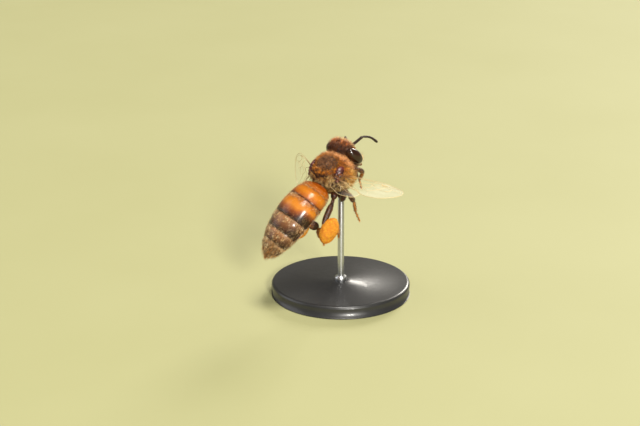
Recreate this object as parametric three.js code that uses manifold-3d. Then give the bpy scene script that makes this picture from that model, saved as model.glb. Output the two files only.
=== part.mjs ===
// A worker honey bee in hovering flight, life size, on a plain display stand.
// Units are millimetres, +Z is up, and the origin is the centre of the stand's underside.
// The bee is modelled in its own frame: +X to its right, +Y forward, +Z to its back.

import * as THREE from 'three';
import { mergeVertices } from 'three/addons/utils/BufferGeometryUtils.js';
import Module from 'manifold-3d';

const wasm = await Module();
wasm.setup();

// ---- driving dimensions -------------------------------------------------------------------

const FLIGHT_PITCH = THREE.MathUtils.degToRad(34);
const THORAX_HEIGHT = 11.5;      // thorax centre above the table
const GAP = 0.08;                // clearance between pieces that meet
const FEELER_RADIUS = 0.25;      // thinnest limb
const WELD_DISTANCE = 1e-5;      // vertices closer than this are one

const THORAX = { front: 1.5, rear: -1.3, halfWidth: 1.95, halfHeight: 1.85, bluntness: 2.3 };
const THORAX_CUTS = { rear: -1.22, propodeum: -0.75, pronotum: 0.95, front: 1.38 };
const CHEST = { front: 0.92, rear: 0.66, from: 0.2, to: -1.25 };   // depth below the middle, as a share
const WAIST = { front: -1.3, gap: 0.04, radius: 0.48 };

// The abdomen hangs from the waist and swings to the left; its own y runs forward from its front end.
const HANG = {
  y: -1.5, z: 0.05, droop: THREE.MathUtils.degToRad(11.5), swing: THREE.MathUtils.degToRad(12),
};
const ABDOMEN = {
  length: 7.77, halfWidth: 1.88, halfHeight: 1.45, widest: 0.382, frontPower: 0.22, rearPower: 0.54,
  centre: 0.05, arch: 0.42,
};
const ABDOMEN_CUTS = [0, -0.72, -1.92, -3.94, -5.34, -6.42, -7.77];

const HEAD = { y: 2.36, z: 0.3, tilt: THREE.MathUtils.degToRad(12) };
const SKULL = {
  top: 1.5, bottom: -1.75, halfWidth: 1.45, halfDepth: 0.8, bluntness: 2.4,
  widths: [0.72, 1.04], depths: [0.85, 1.02],   // shares at the mouth and at the crown
};
const EYE = { x: 1.27, y: -0.1, z: 0.2, halfWidth: 0.54, halfDepth: 0.54, halfHeight: 0.98, lean: 0.16 };
const MANDIBLE_RADIUS = 0.26;

const WING_THICKNESS = 0.5;
const WING_HINGE = { x: 1.72, y: -0.3, z: 0.95 };
const WING_GAP = 0.06;
// Sweep is forward of straight out, lift is upwards, and twist turns the rear edge up.
const WING_POSES = {
  right: { sweep: -2.4, lift: 8.1, twist: 33.5 },
  left: { sweep: 27.5, lift: -27.9, twist: -58.7 },
};

const LEG_RADII = {
  front: { femur: 0.3, tibia: 0.26, tarsus: 0.25 },
  middle: { femur: 0.32, tibia: 0.31, tarsus: 0.26 },
  hind: { femur: 0.33, tibia: 0.42, tarsus: 0.3 },
};
// Joints from the hip down, in the bee's frame: hip, trochanter, knee, ankle, heel and claws.
const LEG_JOINTS = {
  front_right: [[0.55, 0.8, -1.35], [0.85, 1.45, -1.9], [1.85, 1.2, 0.2],
    [1.75, 1.9, -1.15], [0.8, 1.75, -2.3], [0.3, 1.8, -3.8]],
  front_left: [[-0.55, 0.8, -1.35], [-0.85, 1.45, -1.9], [-1.85, 1.2, 0.2],
    [-1.7, 1.9, -1.15], [-0.9, 1.85, -2.1], [-0.5, 1.95, -3.0]],
  middle_right: [[0.8, -0.7, -1.4], [1.2, -1.2, -1.8], [2.4, -1.0, -0.1],
    [2.2, -0.75, -2.0], [2.0, -1.0, -3.2], [1.8, -1.0, -4.6]],
  middle_left: [[-0.8, -0.6, -1.4], [-1.1, -0.9, -1.95], [-2.05, -1.05, -1.15],
    [-1.85, -0.4, -2.5], [-1.35, 0.1, -2.9], [-0.75, 0.5, -3.2]],
  hind_right: [[0.7, -1.1, -1.0], [0.98, -1.95, -1.25], [1.35, -4.15, -1.6],
    [1.25, -3.1, -3.3], [0.95, -2.95, -4.3], [0.45, -2.9, -5.15]],
  hind_left: [[-0.7, -1.1, -1.0], [-0.98, -1.95, -1.4], [-1.65, -4.1, -2.0],
    [-0.75, -3.45, -3.6], [-0.7, -3.75, -4.65], [-0.65, -3.95, -5.5]],
};
const POLLEN = { long: 1.25, across: 0.86, thick: 0.72 };
const POLLEN_PLACES = {
  right: { centre: [1.68, -4.12, -2.3], lean: [-0.15, -0.9, -0.42] },
  left: { centre: [-1.9, -4.1, -2.85], lean: [0.15, -0.9, -0.42] },
};

// Antennae from the socket over the elbow to the tip, in the bee's frame.
const ANTENNAE = {
  right: { socket: [0.3, 3.24, 0.5], elbow: [0.97, 4.13, 0.83], bend: [1.24, 4.63, 0.27],
    tip: [1.07, 5.15, -0.98] },
  left: { socket: [-0.3, 3.24, 0.5], elbow: [-1.2, 3.93, 0.33], bend: [-1.52, 3.89, -0.52],
    tip: [-1.6, 3.57, -1.75] },
};

const STAND = { radius: 6.2, thickness: 1.2, edge: 0.3, rodRadius: 0.3, sides: 40 };
const ROD_TOP = { y: 0.3, z: -1.8 };   // where the rod meets the chest, in the bee's frame
const ROD_CLEARANCE = 0.2;            // the chest slopes, so that the rod ends a little short of it

// ---- finishes -----------------------------------------------------------------------------

const finish = (color, roughness, metalness = 0) => (
  new THREE.MeshStandardMaterial({ color, roughness, metalness })
);
const FINISHES = {
  coat: finish(0xc08a4a, 0.9),
  shell: finish(0xc8741c, 0.35),
  eye: finish(0x1c0f0a, 0.2),
  leg: finish(0x4a2c20, 0.5),
  wing: finish(0xe6dcc0, 0.3),
  pollen: finish(0xf2a02c, 0.95),
  standBase: finish(0x1b1b1d, 0.45),
  standRod: finish(0xb8babd, 0.3, 1),
};

// ---- general shapes -----------------------------------------------------------------------

const vector = ([x, y, z]) => new THREE.Vector3(x, y, z);
const lerp = THREE.MathUtils.lerp;

/** Shares vertices and drops the empty triangles that a lathe leaves at its poles. */
function weld(geometry) {
  geometry.deleteAttribute('normal');
  geometry.deleteAttribute('uv');
  const merged = mergeVertices(geometry, WELD_DISTANCE);
  const index = merged.getIndex().array;
  const kept = [];
  for (let i = 0; i < index.length; i += 3) {
    const [a, b, c] = [index[i], index[i + 1], index[i + 2]];
    if (a !== b && b !== c && c !== a) kept.push(a, b, c);
  }
  merged.setIndex(kept);
  return merged;
}

function toManifold(geometry) {
  return new wasm.Manifold(new wasm.Mesh({
    numProp: 3,
    vertProperties: Float32Array.from(geometry.getAttribute('position').array),
    triVerts: Uint32Array.from(geometry.getIndex().array),
  }));
}

function fromManifold(body) {
  const { vertProperties, triVerts } = body.getMesh();
  const geometry = new THREE.BufferGeometry();
  geometry.setAttribute('position', new THREE.BufferAttribute(vertProperties, 3));
  geometry.setIndex(new THREE.BufferAttribute(triVerts, 1));
  return geometry;
}

/** The geometry with each of the others cut away from it. */
function cut(geometry, others) {
  let body = toManifold(geometry);
  for (const other of others) body = body.subtract(toManifold(other));
  return fromManifold(body);
}

/**
 * A lathe of radius 1 from t = 0 to t = 1, each vertex placed by place(x, t, z).
 * Flat ends keep their full radius; round ends take more steps near the poles.
 */
function shaped(steps, sides, flatEnds, place) {
  const profile = [new THREE.Vector2(0, 0)];
  for (let i = flatEnds ? 0 : 1; i <= (flatEnds ? steps : steps - 1); i += 1) {
    const along = i / steps;
    profile.push(new THREE.Vector2(1, flatEnds ? along : (1 - Math.cos(Math.PI * along)) / 2));
  }
  profile.push(new THREE.Vector2(0, 1));
  const lathe = new THREE.LatheGeometry(profile, sides);
  const position = lathe.getAttribute('position');
  for (let i = 0; i < position.count; i += 1) {
    const at = place(position.getX(i), position.getY(i), position.getZ(i));
    position.setXYZ(i, at.x, at.y, at.z);
  }
  return weld(lathe);
}

/** Radius of a rounded bar at t along it: 1 in the middle, 0 at both ends. */
const rounded = (t, bluntness) => (1 - Math.abs(2 * t - 1) ** bluntness) ** (1 / bluntness);

/** A direction square to the plane that a curve bends in. */
function squareTo(curve) {
  const start = curve.getTangentAt(0.02);
  const bend = start.clone().cross(curve.getTangentAt(0.98));
  return bend.length() > 0.05 ? bend.normalize() : start.cross(new THREE.Vector3(0.6, 0.8, 0)).normalize();
}

/** A round-ended limb along a curve; swell(t) multiplies its radius. */
function limb(curve, radius, steps, sides, swell = () => 1) {
  const up = squareTo(curve);
  const bluntness = 2 + curve.getLength() / radius;
  return shaped(steps, sides, false, (x, t, z) => {
    const tangent = curve.getTangentAt(t);
    const side = tangent.clone().cross(up).normalize();
    const normal = side.clone().cross(tangent);
    const reach = radius * swell(t) * rounded(t, bluntness);
    return curve.getPointAt(t).addScaledVector(side, x * reach).addScaledVector(normal, z * reach);
  });
}

/** The straight line or smooth curve through some points, shortened by a gap at each end. */
function between(points, gap) {
  const ends = points.map(vector);
  const first = ends[0].clone().sub(ends[1]).setLength(gap);
  const last = ends.at(-1).clone().sub(ends.at(-2)).setLength(gap);
  ends[0].sub(first);
  ends[ends.length - 1].sub(last);
  return ends.length === 2
    ? new THREE.LineCurve3(...ends)
    : new THREE.CatmullRomCurve3(ends, false, 'centripetal');
}

// ---- the body's own outlines --------------------------------------------------------------

/** Thorax section at y, as a share of its half-width and half-height. */
function thoraxShare(y) {
  const t = (y - THORAX.rear) / (THORAX.front - THORAX.rear);
  return rounded(THREE.MathUtils.clamp(t, 0, 1), THORAX.bluntness);
}

/** The chest rises towards the waist: its depth at y as a share of the back's height. */
function chestShare(y) {
  const rearward = THREE.MathUtils.smoothstep(-y, -CHEST.from, -CHEST.to);
  return lerp(CHEST.front, CHEST.rear, rearward);
}

/** Abdomen section at y: it swells at once behind the waist and tapers to the sting. */
function abdomenShare(y) {
  const along = THREE.MathUtils.clamp(-y / ABDOMEN.length, 0, 1);
  if (along < ABDOMEN.widest) {
    const toWidest = Math.max(along / ABDOMEN.widest, 0.02);
    return (1 - (1 - toWidest) ** 2) ** ABDOMEN.frontPower;
  }
  const toTip = (along - ABDOMEN.widest) / (1 - ABDOMEN.widest);
  return (1 - toTip ** 2) ** ABDOMEN.rearPower;
}

/** Height of the abdomen's centre line at y. */
function abdomenRise(y) {
  const along = THREE.MathUtils.clamp(-y / ABDOMEN.length, 0, 1);
  return ABDOMEN.centre + ABDOMEN.arch * Math.sin(Math.PI * along ** 0.8);
}

/** Part of the thorax from one y to another, grown outwards by extra. */
function thoraxSlice(rear, front, steps, extra = 0) {
  return shaped(steps, 24, true, (x, t, z) => {
    const y = lerp(rear, front, t);
    const share = thoraxShare(y);
    const height = THORAX.halfHeight * share * (z < 0 ? chestShare(y) : 1) + extra;
    return vector([x * (THORAX.halfWidth * share + extra), y, z * height]);
  });
}

/** Part of the abdomen from one y to another; the last part closes to a rounded tip. */
function abdomenSlice(rear, front, steps, isTip) {
  return shaped(steps, 24, !isTip, (x, t, z) => {
    const y = isTip ? lerp(rear, front, Math.sin(t * Math.PI / 2)) : lerp(rear, front, t);
    const share = abdomenShare(y);
    return vector([
      x * ABDOMEN.halfWidth * share,
      y,
      z * ABDOMEN.halfHeight * share + abdomenRise(y),
    ]);
  });
}

/** Head without its eyes, grown by extra: broad at the crown and narrow at the mouth. */
function skull(extra = 0) {
  return shaped(12, 20, false, (x, t, z) => {
    const share = rounded(t, SKULL.bluntness);
    const width = SKULL.halfWidth * share * lerp(...SKULL.widths, Math.min(1, t * 1.5)) + extra;
    const depth = SKULL.halfDepth * share * lerp(...SKULL.depths, t) + extra;
    return vector([x * width, -z * depth, lerp(SKULL.bottom - extra, SKULL.top + extra, t)]);
  });
}

function eyeball(side, extra = 0) {
  const ball = new THREE.SphereGeometry(1, 14, 10);
  ball.scale(EYE.halfWidth + extra, EYE.halfDepth + extra, EYE.halfHeight + extra);
  ball.rotateY(-side * EYE.lean);
  ball.translate(side * EYE.x, EYE.y, EYE.z);
  return weld(ball);
}

// ---- sub-parts ----------------------------------------------------------------------------

const mesh = (name, geometry, material) => {
  const piece = new THREE.Mesh(geometry, material);
  piece.name = name;
  return piece;
};

function makeThorax() {
  const half = GAP / 2;
  return [
    mesh('propodeum', thoraxSlice(THORAX_CUTS.rear, THORAX_CUTS.propodeum - half, 5), FINISHES.coat),
    mesh('mesothorax', thoraxSlice(THORAX_CUTS.propodeum + half, THORAX_CUTS.pronotum - half, 8),
      FINISHES.coat),
    mesh('pronotum', thoraxSlice(THORAX_CUTS.pronotum + half, THORAX_CUTS.front, 4), FINISHES.coat),
  ];
}

/** The frame of the abdomen in the bee's frame. */
function hangMatrix() {
  const turn = new THREE.Euler(HANG.droop, 0, -HANG.swing, 'ZYX');
  return new THREE.Matrix4().makeRotationFromEuler(turn).setPosition(0, HANG.y, HANG.z);
}

/** A short neck whose rear face is square to the abdomen. */
function makeWaist() {
  const hang = hangMatrix();
  const waist = shaped(1, 16, true, (x, t, z) => {
    const at = vector([x * WAIST.radius, 0, z * WAIST.radius]);
    return t > 0.5 ? at.setY(WAIST.front) : at.setY(WAIST.gap).applyMatrix4(hang);
  });
  return mesh('waist', waist, FINISHES.leg);
}

function makeAbdomen() {
  const abdomen = new THREE.Group();
  abdomen.applyMatrix4(hangMatrix());
  const half = GAP / 2;
  const last = ABDOMEN_CUTS.length - 2;
  for (let i = 0; i <= last; i += 1) {
    const isTip = i === last;
    const rear = ABDOMEN_CUTS[i + 1] + (isTip ? 0 : half);
    const slice = abdomenSlice(rear, ABDOMEN_CUTS[i] - half, isTip ? 8 : 4, isTip);
    abdomen.add(mesh(`abdomen_segment_${i + 1}`, slice, FINISHES.shell));
  }
  return abdomen;
}

function makeHead() {
  const head = new THREE.Group();
  head.position.set(0, HEAD.y, HEAD.z);
  head.rotation.x = HEAD.tilt;
  const sockets = [1, -1].map((side) => eyeball(side, GAP));
  head.add(mesh('head', cut(skull(), sockets), FINISHES.coat));
  for (const [name, side] of [['right', 1], ['left', -1]]) {
    head.add(mesh(`eye_${name}`, eyeball(side), FINISHES.eye));
    const jaw = between([[side * 0.42, 0.1, -1.82], [side * 0.3, 0.12, -2.1], [side * 0.2, 0.05, -2.42]], 0);
    head.add(mesh(`mandible_${name}`, cut(limb(jaw, MANDIBLE_RADIUS, 6, 8), [
      skull(GAP), centreWall(side),
    ]), FINISHES.leg));
  }
  const tongue = between([[0, -0.2, -2.15], [0, -0.48, -2.05], [0, -0.72, -1.7]], 0);
  head.add(mesh('proboscis', cut(limb(tongue, 0.25, 8, 8), [skull(GAP)]), FINISHES.leg));
  return head;
}

/** A thin block on the far side of the middle, which keeps the two mandibles apart. */
function centreWall(side) {
  const wall = new THREE.BoxGeometry(2, 4, 4);
  wall.translate(-side * (1 - GAP / 2), 0, -2);
  return weld(wall);
}

function makeAntenna(name, { socket, elbow, bend, tip }) {
  const scape = limb(between([socket, elbow], GAP), FEELER_RADIUS, 8, 8);
  const flagellum = limb(between([elbow, bend, tip], GAP), FEELER_RADIUS, 12, 8);
  return [
    mesh(`antenna_scape_${name}`, scape, FINISHES.leg),
    mesh(`antenna_flagellum_${name}`, cut(flagellum, [scape]), FINISHES.leg),
  ];
}

/** A leg's femur with its hip, its tibia and its tarsus with the claws. */
function makeLeg(name, joints, radii, obstacles) {
  const [hip, trochanter, knee, ankle, heel, claws] = joints;
  const thigh = (t) => lerp(0.75, 1, Math.min(1, t * 2)) * lerp(1, 0.8, t);
  const calf = (t) => lerp(0.72, 1, t);
  const femur = cut(limb(between([hip, trochanter, knee], GAP), radii.femur, 11, 8, thigh), obstacles);
  const tibia = limb(between([knee, ankle], GAP), radii.tibia, 8, 8, calf);
  const tarsus = limb(between([ankle, heel, claws], GAP), radii.tarsus, 10, 8);
  return [
    mesh(`leg_${name}_femur`, femur, FINISHES.leg),
    mesh(`leg_${name}_tibia`, cut(tibia, [femur, ...obstacles]), FINISHES.leg),
    mesh(`leg_${name}_tarsus`, cut(tarsus, [tibia, femur]), FINISHES.leg),
  ];
}

/** A ball of pollen packed on the outside of a hind tibia. */
function makePollen(name, { centre, lean }, leg) {
  const ball = new THREE.SphereGeometry(1, 14, 10);
  ball.scale(POLLEN.thick, POLLEN.long, POLLEN.across);
  const turn = new THREE.Quaternion().setFromUnitVectors(
    new THREE.Vector3(0, -1, 0),
    vector(lean).normalize(),
  );
  ball.applyQuaternion(turn);
  ball.translate(...centre);
  return mesh(`pollen_${name}`, cut(weld(ball), leg), FINISHES.pollen);
}

/** Outline of the fore wing: x runs out from the hinge and y from the front edge to the rear. */
function foreWingShape() {
  const shape = new THREE.Shape();
  shape.moveTo(0, 0);
  shape.bezierCurveTo(2.5, -0.35, 6.2, -0.5, 8.0, 0.25);
  shape.bezierCurveTo(9.3, 0.8, 9.7, 1.9, 8.7, 2.7);
  shape.bezierCurveTo(8.0, 3.25, 6.6, 3.2, 5.6, 2.75);
  shape.bezierCurveTo(3.9, 2.05, 2.0, 1.4, 0.0, 0.5);
  shape.closePath();
  return shape;
}

/** Outline of the hind wing, which lies behind the fore wing and hooks to it. */
function hindWingShape() {
  const shape = new THREE.Shape();
  shape.moveTo(0, 0.5 + WING_GAP);
  shape.bezierCurveTo(2.0, 1.4 + WING_GAP, 3.9, 2.05 + WING_GAP, 5.6, 2.75 + WING_GAP);
  shape.bezierCurveTo(6.4, 3.2, 6.6, 3.7, 5.8, 4.05);
  shape.bezierCurveTo(4.6, 4.4, 2.2, 3.3, 0.0, 1.2);
  shape.closePath();
  return shape;
}

/** A wing as a thin slab, laid out from the hinge of one side and turned to its pose. */
function makeWing(name, shape, side, pose, obstacles) {
  const slab = new THREE.ExtrudeGeometry(shape, {
    depth: WING_THICKNESS,
    steps: 1,
    bevelEnabled: false,
    curveSegments: 9,
  });
  slab.translate(0, 0, -WING_THICKNESS / 2);
  const span = new THREE.Vector3(1, 0, 0);
  const rearward = new THREE.Vector3(0, -1, 0);
  const turn = new THREE.Matrix4().makeRotationY(-THREE.MathUtils.degToRad(pose.lift))
    .premultiply(new THREE.Matrix4().makeRotationZ(THREE.MathUtils.degToRad(pose.sweep)));
  span.transformDirection(turn);
  rearward.transformDirection(turn);
  rearward.applyAxisAngle(span, -THREE.MathUtils.degToRad(pose.twist));
  const upward = span.clone().cross(rearward);
  const place = new THREE.Matrix4().makeBasis(span, rearward, upward);
  place.setPosition(WING_HINGE.x, WING_HINGE.y, WING_HINGE.z);
  slab.applyMatrix4(place);
  if (side < 0) mirror(slab);
  return mesh(name, cut(weld(slab), obstacles), FINISHES.wing);
}

/** Mirrors a triangle soup to the other side of the body and keeps its faces outwards. */
function mirror(geometry) {
  geometry.scale(-1, 1, 1);
  const position = geometry.getAttribute('position');
  const corner = [new THREE.Vector3(), new THREE.Vector3()];
  for (let i = 0; i < position.count; i += 3) {
    corner[0].fromBufferAttribute(position, i + 1);
    corner[1].fromBufferAttribute(position, i + 2);
    position.setXYZ(i + 1, ...corner[1].toArray());
    position.setXYZ(i + 2, ...corner[0].toArray());
  }
}

function makeWings(side, name) {
  const nearby = [thoraxSlice(THORAX.rear + 0.01, THORAX.front - 0.01, 14, GAP)];
  const pose = WING_POSES[name];
  return [
    makeWing(`fore_wing_${name}`, foreWingShape(), side, pose, nearby),
    makeWing(`hind_wing_${name}`, hindWingShape(), side, pose, nearby),
  ];
}

function makeLegs() {
  const nearby = [thoraxSlice(THORAX.rear + 0.01, THORAX.front - 0.01, 14, GAP)];
  const pieces = [];
  for (const [name, joints] of Object.entries(LEG_JOINTS)) {
    const radii = LEG_RADII[name.split('_')[0]];
    pieces.push(...makeLeg(name, joints, radii, nearby));
  }
  return pieces;
}

/** The tibia, grown, that a pollen ball is packed against. */
function basket(joints) {
  const tibia = limb(between([joints[2], joints[3]], 0), LEG_RADII.hind.tibia + GAP, 8, 8);
  const thigh = limb(between([joints[1], joints[2]], 0), LEG_RADII.hind.femur + GAP, 8, 8);
  const foot = limb(between([joints[3], joints[4]], 0), LEG_RADII.hind.tarsus + GAP, 8, 8);
  return [tibia, thigh, foot];
}

function makeBee() {
  const bee = new THREE.Group();
  bee.rotation.x = FLIGHT_PITCH;
  bee.add(...makeThorax(), makeWaist(), makeAbdomen(), makeHead());
  bee.add(...makeAntenna('right', ANTENNAE.right), ...makeAntenna('left', ANTENNAE.left));
  bee.add(...makeWings(1, 'right'), ...makeWings(-1, 'left'), ...makeLegs());
  for (const side of ['right', 'left']) {
    bee.add(makePollen(side, POLLEN_PLACES[side], basket(LEG_JOINTS[`hind_${side}`])));
  }
  return bee;
}

/** A round flat base, and a rod from its centre up to the chest. */
function makeStand(rodTop) {
  const { radius, thickness, edge, rodRadius, sides } = STAND;
  const profile = [[0, 0], [radius - edge, 0], [radius, edge], [radius, thickness - edge],
    [radius - edge, thickness], [0, thickness]].map(([x, y]) => new THREE.Vector2(x, y));
  const base = new THREE.LatheGeometry(profile, sides);
  base.rotateX(Math.PI / 2);
  const rodLength = rodTop - thickness - GAP;
  const rod = new THREE.CylinderGeometry(rodRadius, rodRadius, rodLength, 16);
  rod.rotateX(Math.PI / 2);
  rod.translate(0, 0, thickness + GAP + rodLength / 2);
  return [
    mesh('stand_base', weld(base), FINISHES.standBase),
    mesh('stand_rod', weld(rod), FINISHES.standRod),
  ];
}

const cosPitch = Math.cos(FLIGHT_PITCH);
const sinPitch = Math.sin(FLIGHT_PITCH);
const bee = makeBee();
bee.position.set(0, -(ROD_TOP.y * cosPitch - ROD_TOP.z * sinPitch), THORAX_HEIGHT);
const chestHeight = THORAX_HEIGHT + ROD_TOP.y * sinPitch + ROD_TOP.z * cosPitch;

const model = new THREE.Group();
model.add(bee, ...makeStand(chestHeight - ROD_CLEARANCE));

export default model;
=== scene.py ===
"""A worker honey bee in flight, held over a display stand.

Shapes are laid out in millimetres in the bee's own frame, x to its right, y forward and z up, as
grids of rings. BEE turns them to the flight pose and places them in the world, in metres.
"""

import math

import bmesh
import bpy
import numpy as np
from mathutils import Euler, Matrix, Vector, kdtree, noise


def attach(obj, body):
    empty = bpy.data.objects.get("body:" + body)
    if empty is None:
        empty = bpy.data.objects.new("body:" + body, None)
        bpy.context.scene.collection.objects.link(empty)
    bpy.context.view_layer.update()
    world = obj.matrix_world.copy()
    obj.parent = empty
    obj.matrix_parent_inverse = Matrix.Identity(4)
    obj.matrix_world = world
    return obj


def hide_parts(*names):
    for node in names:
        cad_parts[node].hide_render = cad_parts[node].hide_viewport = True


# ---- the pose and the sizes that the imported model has, in millimetres ----

MM = 0.001
FLIGHT_PITCH = math.radians(34)
THORAX_HEIGHT = 11.5
ROD_TOP = {"y": 0.3, "z": -1.8}
THORAX_SET_BACK = ROD_TOP["z"] * math.sin(FLIGHT_PITCH) - ROD_TOP["y"] * math.cos(FLIGHT_PITCH)
THORAX_PLACE = (0.0, THORAX_SET_BACK * MM, THORAX_HEIGHT * MM)
BEE = Matrix.Translation(THORAX_PLACE) @ Matrix.Rotation(FLIGHT_PITCH, 4, "X") @ Matrix.Scale(MM, 4)
FLOOR = Matrix.Scale(MM, 4)

THORAX = {"front": 1.5, "rear": -1.3, "half_width": 1.95, "half_height": 1.85, "bluntness": 2.3}
CHEST = {"front": 0.92, "rear": 0.66, "from": 0.2, "to": -1.25}
WAIST_RADIUS = 0.48
HANG_PLACE = (0.0, -1.5, 0.05)   # the front of the abdomen, which droops and swings to the left
HANG_TURN = (math.radians(11.5), 0.0, math.radians(-12))
HANG = Matrix.Translation(HANG_PLACE) @ Euler(HANG_TURN, "XYZ").to_matrix().to_4x4()
ABDOMEN = {"length": 7.77, "half_width": 1.88, "half_height": 1.45, "widest": 0.382,
           "front_power": 0.22, "rear_power": 0.54, "centre": 0.05, "arch": 0.42}
SEGMENT_CUTS = (0, -0.72, -1.92, -3.94, -5.34, -6.42, -7.77)
SKULL = {"top": 1.5, "bottom": -1.75, "half_width": 1.45, "half_depth": 0.8, "bluntness": 2.4}
HEAD = Matrix.Translation((0, 2.36, 0.3)) @ Matrix.Rotation(math.radians(12), 4, "X")
EYE = {"place": (1.27, -0.1, 0.2), "half_sizes": (0.54, 0.54, 0.98), "lean": 0.16}
WING_HINGE = (1.72, -0.3, 0.95)
WING_POSES = {
    "right": {"sweep": -2.4, "lift": 8.1, "twist": 33.5},
    "left": {"sweep": 27.5, "lift": -27.9, "twist": -58.7},
}
LEG_JOINTS = {  # hip, trochanter, knee, ankle, heel and claws
    "front_right": ((0.55, 0.8, -1.35), (0.85, 1.45, -1.9), (1.85, 1.2, 0.2),
                    (1.75, 1.9, -1.15), (0.8, 1.75, -2.3), (0.3, 1.8, -3.8)),
    "front_left": ((-0.55, 0.8, -1.35), (-0.85, 1.45, -1.9), (-1.85, 1.2, 0.2),
                   (-1.7, 1.9, -1.15), (-0.9, 1.85, -2.1), (-0.5, 1.95, -3.0)),
    "middle_right": ((0.8, -0.7, -1.4), (1.2, -1.2, -1.8), (2.4, -1.0, -0.1),
                     (2.2, -0.75, -2.0), (2.0, -1.0, -3.2), (1.8, -1.0, -4.6)),
    "middle_left": ((-0.8, -0.6, -1.4), (-1.1, -0.9, -1.95), (-2.05, -1.05, -1.15),
                    (-1.85, -0.4, -2.5), (-1.35, 0.1, -2.9), (-0.75, 0.5, -3.2)),
    "hind_right": ((0.7, -1.1, -1.0), (0.98, -1.95, -1.25), (1.35, -4.15, -1.6),
                   (1.25, -3.1, -3.3), (0.95, -2.95, -4.3), (0.45, -2.9, -5.15)),
    "hind_left": ((-0.7, -1.1, -1.0), (-0.98, -1.95, -1.4), (-1.65, -4.1, -2.0),
                  (-0.75, -3.45, -3.6), (-0.7, -3.75, -4.65), (-0.65, -3.95, -5.5)),
}
ANTENNAE = {  # socket, elbow, bend and tip
    "right": ((0.3, 3.24, 0.5), (0.97, 4.13, 0.83), (1.24, 4.63, 0.27), (1.07, 5.15, -0.98)),
    "left": ((-0.3, 3.24, 0.5), (-1.2, 3.93, 0.33), (-1.52, 3.89, -0.52), (-1.6, 3.57, -1.75)),
}
POLLEN_HALF_SIZES = (0.72, 1.25, 0.86)
POLLEN_PLACES = {  # centre, and the way that its length points
    "right": ((1.68, -4.12, -2.3), (-0.15, -0.9, -0.42)),
    "left": ((-1.9, -4.1, -2.85), (0.15, -0.9, -0.42)),
}
STAND = {"radius": 6.2, "thickness": 1.2, "edge": 0.3, "rod_radius": 0.3}
ON_ABDOMEN = BEE @ HANG

# ---- sizes of the fine parts ----

THORAX_COAT = 0.36   # depth of the coat over the thorax
HEAD_COAT = 0.1
SHELL_INSET = 0.05   # the short hairs stand in this depth over the abdomen's plates
PLATE_STEP = 0.11    # how far each plate runs in under the one before it
PLATE_THICKNESS = 0.06
PLATE_EDGE = math.radians(116)   # where a back plate ends on each side, from the top
STRAND_RINGS = ((0.0, 3), (0.5, 3), (1.0, 1))   # share of a strand's length, and its corners there
TUFT_PATCH = 0.003   # size of a tuft in its map
WING_RIM = 0.018     # radius of the margin round a wing
EDGE_COUNT = 90      # points along each edge of a wing
WHIP_JOINTS = 11     # joints of a feeler beyond its elbow
SIDES = {"right": 1, "left": -1}


# ---- shapes ----

def unit(vectors):
    """Each vector at length 1."""
    lengths = np.linalg.norm(vectors, axis=-1, keepdims=True)
    return vectors / np.maximum(lengths, 1e-9)


def eased(values, low, high):
    """A smooth step from 0 at low to 1 at high."""
    share = np.clip((np.asarray(values, float) - low) / (high - low), 0, 1)
    return share * share * (3 - 2 * share)


def hump(offset, width):
    """A smooth hump, 1 where the offset is 0."""
    return np.exp(-(offset / width) ** 2)


def blunt(t, power):
    """Section of a blunt-ended body at t along it, as a share of its widest."""
    return (1 - np.abs(2 * t - 1) ** power) ** (1 / power)


def round_angles(count):
    """Angles evenly round a circle."""
    return np.linspace(0, 2 * math.pi, count, endpoint=False)


def through(shares, knots):
    """Values at some shares, easing from knot to knot; a knot is (share, value)."""
    places, values = np.array(knots, float).T
    after = np.clip(np.searchsorted(places, shares), 1, len(places) - 1)
    part = eased((shares - places[after - 1]) / (places[after] - places[after - 1]), 0, 1)
    return values[after - 1] * (1 - part) + values[after] * part


def spaced(drawn, count):
    """Points evenly along a line that is drawn with many points."""
    lengths = np.concatenate([[0], np.cumsum(np.linalg.norm(np.diff(drawn, axis=0), axis=1))])
    wanted = np.linspace(0, lengths[-1], count)
    return np.column_stack([np.interp(wanted, lengths, axis) for axis in drawn.T])


def curve(points, count):
    """Points evenly along a smooth curve through the given ones."""
    points = np.array(points, float)
    first, last = 2 * points[0] - points[1], 2 * points[-1] - points[-2]
    padded = np.vstack([first, points, last])
    drawn = []
    for start in range(len(points) - 1):
        a, b, c, d = padded[start:start + 4]
        for t in np.linspace(0, 1, 24, endpoint=False):
            drawn.append(0.5 * (2 * b + (c - a) * t + (2 * a - 5 * b + 4 * c - d) * t * t
                                + (3 * b - a - 3 * c + d) * t ** 3))
    return spaced(np.array(drawn + [points[-1]]), count)


def tube(path, radii, wide=(0.3, 0.5, 0.81), flat=1.0, sides=14):
    """Rings round a path. Wide is the direction of the full radius, and flat the other's share."""
    tangents = unit(np.gradient(path, axis=0))
    across = np.empty_like(path)
    reference = np.array(wide, float)
    for i, tangent in enumerate(tangents):
        reference = unit(reference - tangent * (reference @ tangent))
        across[i] = reference
    deep = np.cross(tangents, across)
    angles = round_angles(sides)[None, :, None]
    radii = np.broadcast_to(radii, len(path))[:, None, None]
    return (path[:, None] + across[:, None] * np.cos(angles) * radii
            + deep[:, None] * np.sin(angles) * radii * flat)


def bar(start, end, knots, radius=1.0, rings=18, **form):
    """Rings of a round-ended bar. The knots give its radius along it, in shares of the one given."""
    start, end = np.array(start, float), np.array(end, float)
    length = np.linalg.norm(end - start)
    shares = (1 - np.cos(np.linspace(0.03, 0.97, rings) * math.pi)) / 2
    radii = through(shares, knots) * radius
    reach = np.minimum(0.45, radii / length)
    near = np.clip(1 - np.minimum(shares, 1 - shares) / reach, 0, 1)
    path = start + (end - start) * shares[:, None]
    return tube(path, radii * np.sqrt(1 - near ** 2), **form)


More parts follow.
